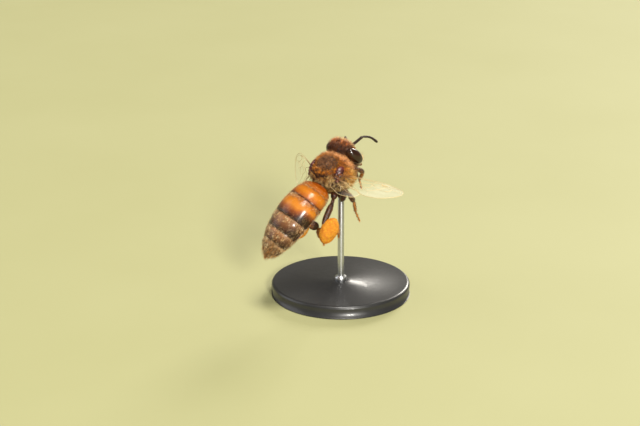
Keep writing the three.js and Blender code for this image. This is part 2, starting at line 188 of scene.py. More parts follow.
def ball(centre, half_sizes, rows=14, columns=20):
    """Rings of an ellipsoid, pole to pole along z."""
    polar = np.linspace(0.04, math.pi - 0.04, rows)[:, None]
    angles = round_angles(columns)[None, :]
    sphere = np.stack([np.sin(polar) * np.cos(angles), np.sin(polar) * np.sin(angles),
                       np.cos(polar) * np.ones_like(angles)], axis=-1)
    return sphere * np.array(half_sizes, float) + np.array(centre, float)


def moved(points, matrix):
    """Points of any array turned and moved by a matrix."""
    numbers = np.array(matrix)
    return points @ numbers[:3, :3].T + numbers[:3, 3]


def moved_all(grids, matrix):
    """Some grids, each turned and moved by a matrix."""
    return [moved(points, matrix) for points in grids]


def grid_shape(points, closed):
    """Points and faces over rows of points; closed rows are rings, with a cap on each end row."""
    rows, columns = points.shape[:2]
    corners = np.arange(rows * columns).reshape(rows, columns)
    after = np.roll(corners, -1, axis=1)
    if not closed:
        corners, after = corners[:, :-1], after[:, :-1]
    quads = np.stack([corners[:-1], after[:-1], after[1:], corners[1:]], axis=-1)
    faces = quads.reshape(-1, 4).tolist()
    places = points.reshape(-1, 3)
    if closed:
        for row in (0, rows - 1):
            faces += [[a, b, len(places)] for a, b in zip(corners[row], after[row])]
            places = np.vstack([places, points[row].mean(axis=0)])
    return places, faces


def joined(grids, closed):
    """Points and faces of several grids."""
    places, faces, count = [], [], 0
    for points in grids:
        some, quads = grid_shape(points, closed)
        places.append(some)
        faces += [[count + corner for corner in face] for face in quads]
        count += len(some)
    return np.vstack(places), faces


# ---- pieces ----

def added(name, data):
    """A new object in the scene."""
    made = bpy.data.objects.new(name, data)
    bpy.context.scene.collection.objects.link(made)
    return made


def placed(mesh, material, nodes, frame_matrix):
    """Puts a finished mesh in the world, on the body, in place of its nodes."""
    mesh.transform(frame_matrix)
    mesh.materials.append(material)
    piece = added(mesh.name, mesh)
    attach(piece, "root")
    if nodes:
        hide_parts(*nodes)


def build_shape(name, shape, material, slot, nodes=(), frame_matrix=BEE):
    """A smooth mesh piece of points and faces, with the faces turned outwards."""
    places, faces = shape
    mesh = bpy.data.meshes.new(name)
    mesh.from_pydata(places.tolist(), [], faces)
    sculpt = bmesh.new()
    sculpt.from_mesh(mesh)
    bmesh.ops.recalc_face_normals(sculpt, faces=sculpt.faces)
    sculpt.to_mesh(mesh)
    sculpt.free()
    mesh.shade_smooth()
    placed(mesh, material, nodes, frame_matrix)


def build(name, grids, *finished, closed=True):
    """A smooth mesh piece of grids; the rest is as in build_shape."""
    build_shape(name, joined(grids, closed), *finished)


def triangle_mesh(name, places, triangles, unwrap, tones, rises):
    """A mesh of many triangles with its map, and each strand's tone and the height along it."""
    mesh = bpy.data.meshes.new(name)
    mesh.vertices.add(len(places))
    mesh.vertices.foreach_set("co", places.astype(np.float32).ravel())
    mesh.loops.add(triangles.size)
    mesh.loops.foreach_set("vertex_index", triangles.astype(np.int32).ravel())
    mesh.polygons.add(len(triangles))
    mesh.polygons.foreach_set("loop_start", np.arange(0, triangles.size, 3, dtype=np.int32))
    mesh.update(calc_edges=True)
    mesh.shade_smooth()
    layer = mesh.uv_layers.new(name="OFBake")
    layer.data.foreach_set("uv", unwrap[triangles.ravel()].astype(np.float32).ravel())
    for attribute, values in (("tone", tones), ("rise", rises)):
        made = mesh.attributes.new(attribute, "FLOAT", "POINT")
        made.data.foreach_set("value", values.astype(np.float32))
    return mesh


# ---- strands of the coat ----

class Roots:
    """Random roots over a grid of rings: places, outward normals, the lie along it and the unwrap."""

    def __init__(self, points, count, seed, density=None, tile=(0, 1)):
        rng = np.random.default_rng(seed)
        rows, columns = points.shape[:2]
        closed = np.concatenate([points, points[:, :1]], axis=1)
        across = closed[:-1, 1:] - closed[:-1, :-1]
        along = closed[1:, :-1] - closed[:-1, :-1]
        chance = np.linalg.norm(np.cross(across, along), axis=2)
        if density:
            chance = chance * density(closed[:-1, :-1])
        chance = chance.ravel() / chance.sum()
        row, column = np.divmod(rng.choice(chance.size, count, p=chance), columns)
        u, v = rng.random((2, count, 1))
        a, b = closed[row, column], closed[row, column + 1]
        c, d = closed[row + 1, column], closed[row + 1, column + 1]
        self.places = (a * (1 - u) + b * u) * (1 - v) + (c * (1 - u) + d * u) * v
        side = unit((b - a) * (1 - v) + (d - c) * v)
        self.lie = unit((c - a) * (1 - u) + (d - b) * u)
        normals = unit(np.cross(side, self.lie))
        outward = self.places - closed.mean(axis=1)[row]
        self.normals = normals * np.sign((normals * outward).sum(axis=1, keepdims=True))
        number, tiles = tile
        unwrap_u = (number + (column + u[:, 0]) / columns) / tiles
        self.unwrap = np.column_stack([unwrap_u, (row + v[:, 0]) / (rows - 1)]) * 0.99


def all_roots(grids, counts, seed):
    """The roots over several grids, each with its own part of the map."""
    parts = [Roots(points, count, seed + i, tile=(i, len(grids)))
             for i, (points, count) in enumerate(zip(grids, counts))]
    first = parts[0]
    for key in ("places", "lie", "normals", "unwrap"):
        setattr(first, key, np.vstack([getattr(part, key) for part in parts]))
    return first


def clumped(places, ways, lengths, share, size, scatter, rng):
    """Turns each strand towards the tip of its tuft. Gives the new ways and each tuft's own tone."""
    heads = rng.choice(len(places), max(1, len(places) // size), replace=False)
    tree = kdtree.KDTree(len(heads))
    for number, head in enumerate(heads):
        tree.insert(places[head], number)
    tree.balance()
    own = np.array([tree.find(place)[1] for place in places])
    head_ways = unit(ways[heads] + rng.normal(0, scatter, (len(heads), 3)))
    tips = places[heads][own] + head_ways[own] * lengths[:, None]
    return unit(ways * (1 - share) + unit(tips - places) * share), rng.random(len(heads))[own]


def strand_triangles():
    """One strand's triangles: a closed foot, sides over two rings of three corners, and the tip."""
    around = ((0, 1), (1, 2), (2, 0))
    triangles = [(0, 2, 1)]
    for low, after in around:
        triangles += [(low, after, after + 3), (low, after + 3, low + 3)]
    return np.array(triangles + [(low + 3, after + 3, 6) for low, after in around])


def strand_ways(roots, lengths, rise, jitter, clump, tuft, scatter, lie, rng):
    """Each strand's way, the flow of the coat at its root, and its tone from 0 to 1."""
    count = len(lengths)
    flow = roots.lie if lie is None else np.array(lie, float)
    flow = unit(flow - roots.normals * (flow * roots.normals).sum(axis=1, keepdims=True))
    ways = unit(roots.normals * rise + flow * (1 - rise))
    ways = unit(ways + rng.normal(0, jitter, (count, 3)))
    ways, tones = clumped(roots.places, ways, lengths, clump, tuft, scatter, rng)
    return ways, flow, 0.75 * tones + 0.25 * rng.random(count)


def strands(name, roots, material, length, width, rise, jitter, curl, clump, tuft, seed,
            scatter=0.3, lie=None, frame_matrix=BEE):
    """Tapered solid strands on the roots; rise is 0 for strands lying flat and 1 for upright ones.

    They lie as the roots do unless a lie is given. Tuft is how many gather, and clump how closely.
    """
    rng = np.random.default_rng(seed)
    count = len(roots.places)
    lengths = length * rng.uniform(0.65, 1.15, count)
    ways, flow, tones = strand_ways(roots, lengths, rise, jitter, clump, tuft, scatter, lie, rng)
    side = unit(np.cross(ways, rng.normal(0, 1, (count, 3))))
    other = np.cross(ways, side)
    bends = unit(flow + rng.normal(0, 0.5, (count, 3))) * curl
    widths = width * rng.uniform(0.7, 1.2, count)
    feet = roots.places - roots.normals * width
    vertices, unwrap, rises = [], [], []
    for height, corners in STRAND_RINGS:
        middle = feet + (ways * height + bends * height ** 2) * lengths[:, None]
        reach = widths[:, None] * (1 - height) ** 0.6
        for corner in range(corners):
            angle = 2 * math.pi * corner / 3
            vertices.append(middle + (side * math.cos(angle) + other * math.sin(angle)) * reach)
            unwrap.append(roots.unwrap + np.array([corner * 0.5, height]) * TUFT_PATCH)
            rises.append(np.full(count, height))
    each = len(vertices)
    places = np.stack(vertices, axis=1).reshape(-1, 3)
    triangles = (np.arange(count)[:, None, None] * each + strand_triangles()[None]).reshape(-1, 3)
    mesh = triangle_mesh(name, places, triangles, np.stack(unwrap, axis=1).reshape(-1, 2),
                         np.repeat(tones, each), np.stack(rises, axis=1).ravel())
    placed(mesh, material, (), frame_matrix)


# ---- materials ----

def linear(code):
    """A colour of six hex digits as the linear one that a shader takes."""
    parts = [part / 255 for part in bytes.fromhex(code)]
    made = [part / 12.92 if part <= 0.04045 else ((part + 0.055) / 1.055) ** 2.4 for part in parts]
    return (*made, 1.0)


def arithmetic(operation):
    """A method that does one operation of a Math node."""
    return lambda value, other=0.0: value.finish.maths(operation, value, other)


class Value:
    """What a node gives over a surface. A number takes plain arithmetic."""

    __add__ = arithmetic("ADD")
    __sub__ = arithmetic("SUBTRACT")
    __mul__ = arithmetic("MULTIPLY")
    __truediv__ = arithmetic("DIVIDE")
    __pow__ = arithmetic("POWER")
    __abs__ = arithmetic("ABSOLUTE")

    def __init__(self, finish, output):
        self.finish = finish
        self.output = output

    def __rsub__(self, other):
        return self.finish.maths("SUBTRACT", other, self)

    def step(self, low, high):
        """A smooth step from 0 at low to 1 at high."""
        inputs = [("Value", self), ("From Min", low), ("From Max", high)]
        return self.finish.value("MapRange", "Result", inputs, interpolation_type="SMOOTHSTEP")


class Finish:
    """A material with short calls for its nodes. Its places are in millimetres in the bee's frame,
    or in the abdomen's frame if it is hung there."""

    def __init__(self, name, hung=False, **values):
        self.hung = hung
        self.material = bpy.data.materials.new(name)
        self.material.use_nodes = True
        self.tree = self.material.node_tree
        self.shader = self.tree.nodes["Principled BSDF"]
        for key, value in values.items():
            socket = key.replace("_", " ").title().replace("Ior", "IOR")
            self.shader.inputs[socket].default_value = value

    def node(self, kind, inputs=(), **settings):
        """A new node with some settings. Its inputs are pairs of a socket and what goes in it: a Value,
        a number, a vector or a colour's code."""
        made = self.tree.nodes.new("ShaderNode" + kind)
        for key, setting in settings.items():
            setattr(made, key, setting)
        for socket, given in inputs:
            if isinstance(given, Value):
                self.tree.links.new(given.output, made.inputs[socket])
            else:
                made.inputs[socket].default_value = linear(given) if isinstance(given, str) else given
        return made

    def value(self, kind, output, inputs=(), **settings):
        """One output of a new node."""
        return Value(self, self.node(kind, inputs, **settings).outputs[output])

    def untransformed(self, vector, place, turn, size=(1, 1, 1)):
        """A vector as seen from a frame that has a place, a turn and a size."""
        inputs = [("Vector", vector), ("Location", place), ("Rotation", turn), ("Scale", size)]
        return self.value("Mapping", "Vector", inputs, vector_type="TEXTURE")

    def place(self):
        """Where the surface is in the finish's frame, in millimetres."""
        world = self.value("TexCoord", "Object")
        found = self.untransformed(world, THORAX_PLACE, (FLIGHT_PITCH, 0, 0), (MM, MM, MM))
        return self.untransformed(found, HANG_PLACE, HANG_TURN) if self.hung else found

    def axes(self):
        """The three parts of the place."""
        made = self.node("SeparateXYZ", [("Vector", self.place())])
        return [Value(self, output) for output in made.outputs]

    def attribute(self, name):
        """A number that the mesh holds for each of its points."""
        return self.value("Attribute", "Fac", attribute_name=name)

    def noise(self, scale, stretch=(1, 1, 1)):
        """Noise of about one patch for each 1/scale millimetres."""
        mapped = self.value("Mapping", "Vector", [("Vector", self.place()), ("Scale", stretch)])
        inputs = [("Vector", mapped), ("Scale", scale), ("Detail", 3.0)]
        return self.value("TexNoise", "Fac", inputs)

    def cells(self, scale, randomness=1.0):
        """The distance from the middle of a cell, with about one cell for each 1/scale millimetres."""
        inputs = [("Vector", self.place()), ("Scale", scale), ("Randomness", randomness)]
        return self.value("TexVoronoi", "Distance", inputs)

    def maths(self, operation, a, b):
        """An operation of a Math node."""
        return self.value("Math", "Value", [(0, a), (1, b)], operation=operation)

    def blend(self, share, a, b, kind="MIX"):
        """Colour a, with a share of colour b."""
        return self.value("Mix", 2, [(0, share), (6, a), (7, b)], data_type="RGBA", blend_type=kind)

    def mottle(self, scale, a, b):
        """Two colours that shade into each other."""
        return self.blend(self.noise(scale), a, b)

    def patches(self, scale, a, b, low=0.35, high=0.65):
        """Two colours in patches with soft edges."""
        return self.blend(self.noise(scale).step(low, high), a, b)

    def ramp(self, value, stops):
        """A colour from stops of (value, colour), in rising order."""
        made = self.node("ValToRGB", [("Fac", value)])
        elements = made.color_ramp.elements
        while len(elements) < len(stops):
            elements.new(0.5)
        for element, (position, colour) in zip(elements, stops):
            element.position = position
            element.color = linear(colour)
        return Value(self, made.outputs["Color"])

    def drive(self, socket, value):
        """One socket of the shader, from a value that changes over the surface."""
        self.tree.links.new(value.output, self.shader.inputs[socket])

    def bump(self, height, distance, strength=1.0):
        """Relief of some millimetres from a height of 0 to 1."""
        inputs = [("Height", height), ("Distance", distance * MM), ("Strength", strength)]
        self.drive("Normal", self.value("Bump", "Normal", inputs))

    def done(self, colour):
        """The material, with its colour."""
        self.drive("Base Color", colour)
        return self.material


def thorax_marking(finish):
    """Grey-brown on the back with orange round it, gold on the sides, beige in front and behind, and a
    painted shadow line under the scutellum's rear edge.
    """
    x, y, z = finish.axes()
    ragged = finish.noise(2.2) * 0.5
    from_centre = (x / 1.2) ** 2.0 + ((y - 0.15) / 0.95) ** 2.0 + ragged
    back = finish.ramp(from_centre / 2.5, [
        (0.0, "a07452"), (0.3, "b07c50"), (0.48, "e89836"),
        (0.72, "ec9022"), (1.0, "ec9a3c")])
    upper = (z + ragged * 0.8).step(0.1, 1.2)
    sides = finish.patches(1.6, "fcda84", "f2b046")
    coat = finish.blend(upper, sides, back)
    collar = (y + ragged).step(1.05, 1.45)
    coat = finish.blend(collar, coat, "f2b274")
    rearward = ragged - y + x * x * 0.3
    # Painted shadow: a dark line under the scutellum's rear edge, on the upper side only.
    seam = rearward.step(1.32, 1.42) - rearward.step(1.5, 1.6)
    coat = finish.blend(seam * upper, coat, "422414")
    waist = finish.patches(4.0, "f8d494", "6e4426", 0.5, 0.62)
    return finish.blend(rearward.step(1.5, 1.75), coat, waist)


def head_marking(finish):
    """Dark brown behind, orange-brown on the crown, pale gold on the brow and cream on the cheeks."""
    _, y, z = finish.axes()
    rising = finish.ramp((z + finish.noise(2.5) * 0.8).step(-1.3, 2.3), [
        (0.0, "fff4d2"), (0.42, "f4d08e"), (0.6, "dc8e3e"),
        (1.0, "da7e2e")])
    rear = finish.blend(y.step(1.95, 2.45), "703e1c", rising)
    return finish.blend(y.step(2.5, 3.0), rear, "fcd48a")


def hair_finish(name, marking, dark_root=0.82, hung=False):
    """A soft strand: its place's marking, a tone of its own and a darker root."""
    finish = Finish(name, hung, roughness=0.5, ior=1.35, sheen_weight=0.08, sheen_roughness=0.4)
    tone = finish.ramp(finish.attribute("tone"), [
        (0.15, "3e2618"), (0.5, "c4ae96"), (0.85, "ffffff")])
    toned = finish.blend(0.85, marking(finish), tone, "MULTIPLY")
    root = finish.blend(dark_root, toned, "321e12")
    return finish.done(finish.blend(finish.attribute("rise").step(0.05, 0.85), root, toned))


def felt_finish(name, light, dark, hung=False):
    """Strands of two shades in patches, only a little darker at the root."""
    return hair_finish(name, lambda finish: finish.patches(2.5, light, dark), 0.35, hung)


def skin_finish(name, marking, tint=0.16):
    """Dark cuticle under the coat, tinted by the coat's marking and finely pitted."""
    finish = Finish(name, roughness=0.42, ior=1.4)
    finish.bump(finish.cells(22.0), 0.008)
    mottled = finish.mottle(6.0, "22140e", "3c2418")
    return finish.done(finish.blend(tint, mottled, marking(finish)))


def plate_end(finish, y):
    """How far back the third or a later plate ends, where y is on it."""
    end = -SEGMENT_CUTS[3]
    for front, rear in zip(SEGMENT_CUTS[3:-1], SEGMENT_CUTS[4:]):
        end = finish.maths("LESS_THAN", y, front) * (front - rear) + end
    return end - 0.02


def shell_finish():
    """Back plates: amber with dark rear bands that widen towards the tip, glossy and fine-grained."""
    finish = Finish("back_plates", True, coat_weight=0.6, coat_roughness=0.2, ior=1.25,
                    subsurface_weight=0.1, subsurface_radius=(1.0, 0.4, 0.12),
                    subsurface_scale=0.25 * MM)
    x, y, _ = finish.axes()
    ragged = (finish.noise(3.2) - 0.5) * 0.22
    forward = abs(x).step(1.0, 1.85) * (y * -1.0).step(2.1, 3.2) * 0.55
    back = finish.maths("MINIMUM", forward + ragged - y, plate_end(finish, y))
    red, amber, bright = "883602", "964c02", "b26808"
    peach, deep, dark = "b8701c", "542205", "220c03"
    brown, tan = "54321c", "926642"
    stops = [(0.0, red), (0.5, amber), (1.3, bright), (1.7, amber), (1.84, deep), (1.93, deep),
             (2.02, amber), (2.45, bright), (2.9, peach), (3.25, "864412"),
             (3.6, "50220a"), (3.84, dark), (3.96, dark), (4.04, tan), (4.9, brown),
             (5.24, dark), (5.38, dark), (5.46, tan), (6.1, brown), (6.34, dark), (6.44, dark),
             (6.54, "745228"), (7.0, "52341e"), (7.77, "321e0e")]
    finish.drive("Roughness", finish.noise(5.0) * 0.22 + 0.2)
    finish.bump(finish.noise(40.0, (1, 2.5, 1)) + finish.noise(9.0), 0.012)
    length = ABDOMEN["length"]
    return finish.done(finish.ramp(back / length, [(place / length, colour) for place, colour in stops]))


def belly_finish():
    """Belly plates: paler amber, with a brown line at each rear edge."""
    finish = Finish("belly_plates", True, coat_weight=0.2, coat_roughness=0.25, ior=1.5)
    _, y, _ = finish.axes()
    pale, mid, line = "ce8a32", "b6681a", "562e12"
    stops = [(0.0, pale)]
    for cut in SEGMENT_CUTS[1:-1]:
        edge = -cut / ABDOMEN["length"]
        stops += [(edge - 0.03, mid), (edge - 0.008, line), (edge, pale)]
    finish.drive("Roughness", finish.noise(5.0) * 0.2 + 0.3)
    finish.bump(finish.noise(30.0, (1, 2, 1)), 0.012)
    plates = finish.ramp(y / -ABDOMEN["length"], stops + [(1.0, line)])
    return finish.done(finish.mottle(3.0, plates, "965c2c"))


def cuticle_finish(name, light, dark, pits=26.0, roughness=0.32, gloss=0.2, relief=0.012):
    """Hard brown cuticle, clouded and finely pitted."""
    finish = Finish(name, roughness=roughness, ior=1.42, coat_weight=gloss, coat_roughness=0.2)
    finish.bump(finish.cells(pits) + finish.noise(12.0), relief)
    return finish.done(finish.patches(3.5, light, dark))


def eye_finish():
    """Black-brown and glossy, with rows of fine lenses."""
    finish = Finish("compound_eye", roughness=0.3, ior=1.2, coat_weight=0.9, coat_roughness=0.09)
    finish.bump(1.0 - finish.cells(36.0, 0.25), 0.002)
    return finish.done(finish.mottle(1.4, "120602", "2e1204"))


def wing_finish():
    """Clear, faintly milky membrane with a fine grain of tiny hairs; it is clearest by the body."""
    finish = Finish("wing_membrane", roughness=0.22, ior=1.45, coat_weight=0.15)
    x, _, _ = finish.axes()
    finish.drive("Alpha", abs(x).step(5.0, 8.5) * 0.24 + 0.012)
    finish.bump(finish.noise(3.0) + finish.noise(30.0), 0.01)
    return finish.done(finish.mottle(0.8, "faf8ec", "eee6cc"))


def vein_finish():
    """Tawny by the body and paler outward."""
    finish = Finish("wing_veins", roughness=0.4, ior=1.45)
    x, _, _ = finish.axes()
    tawny = finish.mottle(3.0, "96622c", "744820")
    pale = finish.mottle(1.0, "deca98", "b89864")
    finish.bump(finish.noise(12.0), 0.006)
    return finish.done(finish.blend(abs(x).step(2.6, 5.0), tawny, pale))


def pollen_finish():
    """Packed pollen: orange-yellow, dry and granular, with painted shade in the hollows between the
    grains.
    """
    finish = Finish("pollen_load", roughness=0.75, subsurface_weight=0.2,
                    subsurface_scale=0.2 * MM, subsurface_radius=(1.0, 0.6, 0.15))
    grains = finish.cells(24.0)
    finish.bump(1.0 - grains, 0.03)
    clouds = finish.patches(3.0, "eeb226", "d88a14", 0.3, 0.7)
    # Painted shade: darker brown in the hollows between the grains, where the relief is lowest.
    return finish.done(finish.blend(grains.step(0.25, 0.8), clouds, "b45a0c"))


def base_finish():
    """Satin black stand base with a fine even grain."""
    finish = Finish("stand_black", coat_weight=0.15)
    finish.drive("Roughness", finish.noise(1.5) * 0.15 + 0.28)
    finish.bump(finish.noise(14.0), 0.01, 0.4)
    return finish.done(finish.mottle(0.7, "1a1a1c", "242426"))


def rod_finish():
    """Drawn steel, brushed along its length."""
    finish = Finish("stand_steel", metallic=1.0)
    drawn = finish.noise(16.0, (1, 0.05, 1))
    finish.drive("Roughness", drawn * 0.15 + 0.24)
    finish.bump(drawn, 0.004, 0.4)
    return finish.done(finish.blend(drawn, "b0b2b6", "ced0d4"))


# ---- thorax ----

# Each layer's strands, their width, how upright they stand and how many make a tuft.
THORAX_LAYERS = ((13000, 0.015, 0.55, 22), (13000, 0.014, 0.62, 14), (7500, 0.011, 0.85, 5))
BACKWARDS = (0, -1, 0)


def chest_share(y):
    """The chest's depth below the middle, as a share of the back's height."""
    rearward = eased(-y, -CHEST["from"], -CHEST["to"])
    return CHEST["front"] + (CHEST["rear"] - CHEST["front"]) * rearward


def thorax_relief(x, y, z):
    """How far the cuticle stands out: the back's shield, the scutellum behind it and the side seams."""
    top = eased(z, 0.4, 0.9)
    seam = -0.11 * hump(y + 0.52 + 0.16 * x * x, 0.09) * top
    scutellum = 0.17 * hump(y + 0.82, 0.23) * eased(1.15 - np.abs(x), 0, 0.4) * top
    shield_edge = -0.07 * hump(np.abs(x) - 1.15, 0.08) * top
    shield = 0.07 * eased(1.3 - np.hypot(x, y - 0.25), 0, 0.6) * top
    side = eased(-z, -0.7, 0.0)
    side_seams = -0.06 * (hump(y - 0.7, 0.07) + hump(y + 0.7, 0.07)) * side
    return seam + scutellum + shield_edge + shield + side_seams


def thorax_rings():
    """The thorax's skin, inside the coat, from the waist to the neck."""
    y = np.linspace(-1.24, 1.44, 56)[:, None] * np.ones(88)
    angle = round_angles(88)[None, :]
    share = blunt((y - THORAX["rear"]) / (THORAX["front"] - THORAX["rear"]), THORAX["bluntness"])
    depth = THORAX_COAT * eased(share, 0.15, 0.8)
    x = np.sin(angle) * (THORAX["half_width"] * share - depth)
    height = THORAX["half_height"] * share * np.where(np.cos(angle) < 0, chest_share(y), 1)
    z = np.cos(angle) * (height - depth)
    relief = thorax_relief(x, y, z)
    return np.stack([x + np.sin(angle) * relief, y, z + np.cos(angle) * relief], axis=-1)


def bare_spots(places, spots):
    """1 over the body and 0 in each spot of (x, y, z, radius), on both sides."""
    kept = np.ones(places.shape[:-1])
    for x, y, z, radius in spots:
        centre = np.array([x, y, z])
        mirrored = np.concatenate([np.abs(places[..., :1]), places[..., 1:]], axis=-1)
        kept *= eased(np.linalg.norm(mirrored - centre, axis=-1), radius * 0.7, radius * 1.1)
    return kept


def thorax_density(places):
    """Bare at the joints of wings, legs and waist, and thinner on the back and behind."""
    y, z = places[..., 1], places[..., 2]
    spots = [(1.55, -0.3, 0.95, 0.5), (1.15, -0.95, 0.85, 0.3), (0.55, 0.8, -1.35, 0.3),
             (0.8, -0.65, -1.4, 0.3), (0.7, -1.1, -1.0, 0.3), (0.0, -1.3, 0.0, 0.5)]
    back_share = 1 - 0.35 * eased(z, 0.9, 1.4) * eased(1.1 - np.abs(y - 0.3), 0, 0.5)
    rear_share = 1 - 0.5 * eased(-y, 0.95, 1.15)
    return bare_spots(places, spots) * back_share * rear_share


def thorax_length(places):
    """Short on the shield of the back and long on the sides, behind and at the collar."""
    x, y, z = places.T
    on_shield = eased(1.35 - np.hypot(x, (y - 0.2) * 1.1), 0, 0.6) * eased(z, 0.4, 1.0)
    by_wing = eased(np.abs(x), 1.0, 1.4) * eased(y, 0.0, 0.5) * eased(-z, -0.7, -0.3)
    return 0.6 - 0.3 * on_shield + 0.2 * by_wing


def behind_wing_density(places):
    """Only in the hollow behind each wing's hinge."""
    return 1.0001 - bare_spots(places, [(1.3, -0.8, 1.0, 0.5)])


def make_thorax():
    """The skin of thorax, waist and neck, the wings' hinges and the coat."""
    skin = thorax_rings()
    waist = bar((0, -1.05, 0.0), (0, -1.75, 0.05),
                [(0, WAIST_RADIUS), (0.5, WAIST_RADIUS * 0.75), (1, WAIST_RADIUS)], sides=24)
    neck = bar((0, 1.2, -0.05), (0, 1.9, 0.0), [(0, 0.62), (1, 0.55)], sides=24)
    build("thorax_skin", [skin, waist, neck], skin_finish("thorax_skin", thorax_marking),
          "coat", ["propodeum", "mesothorax", "pronotum", "waist"])
    make_wing_bases()
    coat = hair_finish("thorax_hair", thorax_marking)
    for number, (count, width, rise, tuft) in enumerate(THORAX_LAYERS):
        roots = Roots(skin, count, number + 11, thorax_density)
        strands(f"thorax_coat_{number + 1}", roots, coat, thorax_length(roots.places), width, rise,
                jitter=0.24, curl=0.3, clump=0.62, tuft=tuft, scatter=0.4, lie=BACKWARDS, seed=number + 11)
    cream = felt_finish("wing_tufts", "fae4ae", "eac27e")
    behind_wings = Roots(skin, count=1000, seed=15, density=behind_wing_density)
    strands("wing_tufts", behind_wings, cream, 0.62, 0.012, 0.42, jitter=0.16, curl=0.3,
            clump=0.75, tuft=40, scatter=0.45, lie=BACKWARDS, seed=15)


def make_wing_bases():
    """The dark scale over each wing's hinge and the hinge's small plates behind it."""
    scale = cuticle_finish("wing_scale", "5c2220", "280d0e", relief=0.004)
    knobs = ((1.7, -0.42, 0.86), (1.5, -0.5, 1.06), (1.62, -0.66, 0.78), (1.74, -0.2, 0.72),
             (1.47, -0.74, 0.9), (1.5, -0.26, 1.16), (1.6, -0.86, 0.6))
    for name, side in SIDES.items():
        tilt = Matrix.Translation((side * 1.58, -0.02, 1.06)) @ Matrix.Rotation(side * 0.75, 4, "Y")
        cap = moved(ball((0, 0, 0), (0.34, 0.46, 0.16), 16, 28), tilt)
        plates = [ball(knob * np.array([side, 1, 1]), (0.17, 0.2, 0.13)) for knob in knobs]
        build(f"tegula_{name}", [cap] + plates, scale, "cuticle")


# ---- head ----

def face_relief(x, z):
    """The clypeus and its groove, the brow's low ridge and the pits that hold the feelers."""
    from_clypeus = np.hypot(x / (0.66 - 0.16 * (z + 0.95)), (z + 0.92) / 0.56)
    shield = 0.16 * eased(1 - from_clypeus, 0, 0.35) - 0.05 * hump(from_clypeus - 1.04, 0.07)
    ridge = 0.05 * hump(x, 0.1) * eased(z, 0.1, 0.5)
    pits = -0.12 * np.exp(-((np.abs(x) - 0.2) ** 2 + z ** 2) / 0.02)
    lip = 0.1 * eased(1 - np.hypot(x / 0.5, (z + 1.58) / 0.16), 0, 0.4)
    return shield + ridge + pits + lip


def head_rings():
    """The head's skin in its own frame, crown to mouth, with the face's relief on its front."""
    t = (1 - np.cos(np.linspace(0.03, 0.97, 56) * math.pi)) / 2
    t = t[:, None] * np.ones(80)
    angle = round_angles(80)[None, :]
    share = blunt(t, SKULL["bluntness"])
    width = SKULL["half_width"] * share * (0.72 + 0.32 * np.minimum(1, t * 1.5)) - HEAD_COAT * share
    depth = SKULL["half_depth"] * share * (0.85 + 0.17 * t) - HEAD_COAT * share
    x = np.sin(angle) * width
    z = SKULL["bottom"] + (SKULL["top"] - SKULL["bottom"]) * t
    facing = eased(np.cos(angle), 0.2, 0.8)
    y = np.cos(angle) * depth + face_relief(x, z) * facing
    return np.stack([x, y, z], axis=-1)


def eye_rings(side):
    """The eye's rings in the head's frame."""
    x, y, z = EYE["place"]
    turn = Matrix.Translation((side * x, y, z)) @ Matrix.Rotation(-side * EYE["lean"], 4, "Y")
    return moved(ball((0, 0, 0), EYE["half_sizes"], 40, 48), turn)


def in_head(places):
    """The x, y and z of places in the head's frame."""
    return np.moveaxis(moved(places, HEAD.inverted()), -1, 0)


def head_density(places):
    """Bare under and just behind the eyes, and thin on the lower face and the back of the head."""
    x, y, z = in_head(places)
    local = np.stack([x, y, z], axis=-1)
    kept = bare_spots(local, [(0.2, 0.75, 0.0, 0.22), (0.2, 0.2, 1.45, 0.2), (0.0, 0.42, 1.3, 0.18)])
    for side in SIDES.values():
        from_eye = (local - np.array(EYE["place"]) * (side, 1, 1)) / EYE["half_sizes"]
        kept *= eased(np.linalg.norm(from_eye, axis=-1), 1.02, 1.25)
    clypeus = eased(y, 0.2, 0.6) * eased(1 - np.hypot(x / 0.75, (z + 1.05) / 0.7), 0, 0.3)
    back = eased(-y, 0.1, 0.5) * eased(z, -0.2, 0.4)
    return kept * (1 - 0.9 * clypeus) * (1 - 0.45 * back)


def head_length(places):
    """Longest on the crown, the cheeks and the brow."""
    _, y, z = in_head(places)
    crown = eased(z, 0.4, 1.3)
    back = eased(-y, -0.3, 0.4)
    cheek = eased(-z, 0.3, 1.0) * eased(-y, -0.5, 0.0)
    brow = eased(y, -0.1, 0.4) * eased(z, 0.2, 0.9)
    return 0.15 + 0.12 * crown + 0.08 * back + 0.14 * cheek + 0.16 * brow


def head_lie(places):
    """Up and forward over the crown, and down over the face."""
    _, y, _ = in_head(places)
    face = eased(y, 0.15, 0.5)[:, None]
    return np.array([0.0, 0.87, 0.49]) * (1 - face) + np.array([0.0, 0.1, -1.0]) * face


def cheek_density(places):
    """Only round the lower rear edge of each eye."""
    x, y, z = in_head(places)
    low = eased(-z, 0.15, 0.5) * eased(z, -1.25, -0.95)
    return 1e-6 + low * eased(np.abs(x), 0.75, 1.0) * eased(-y, -0.25, 0.05)


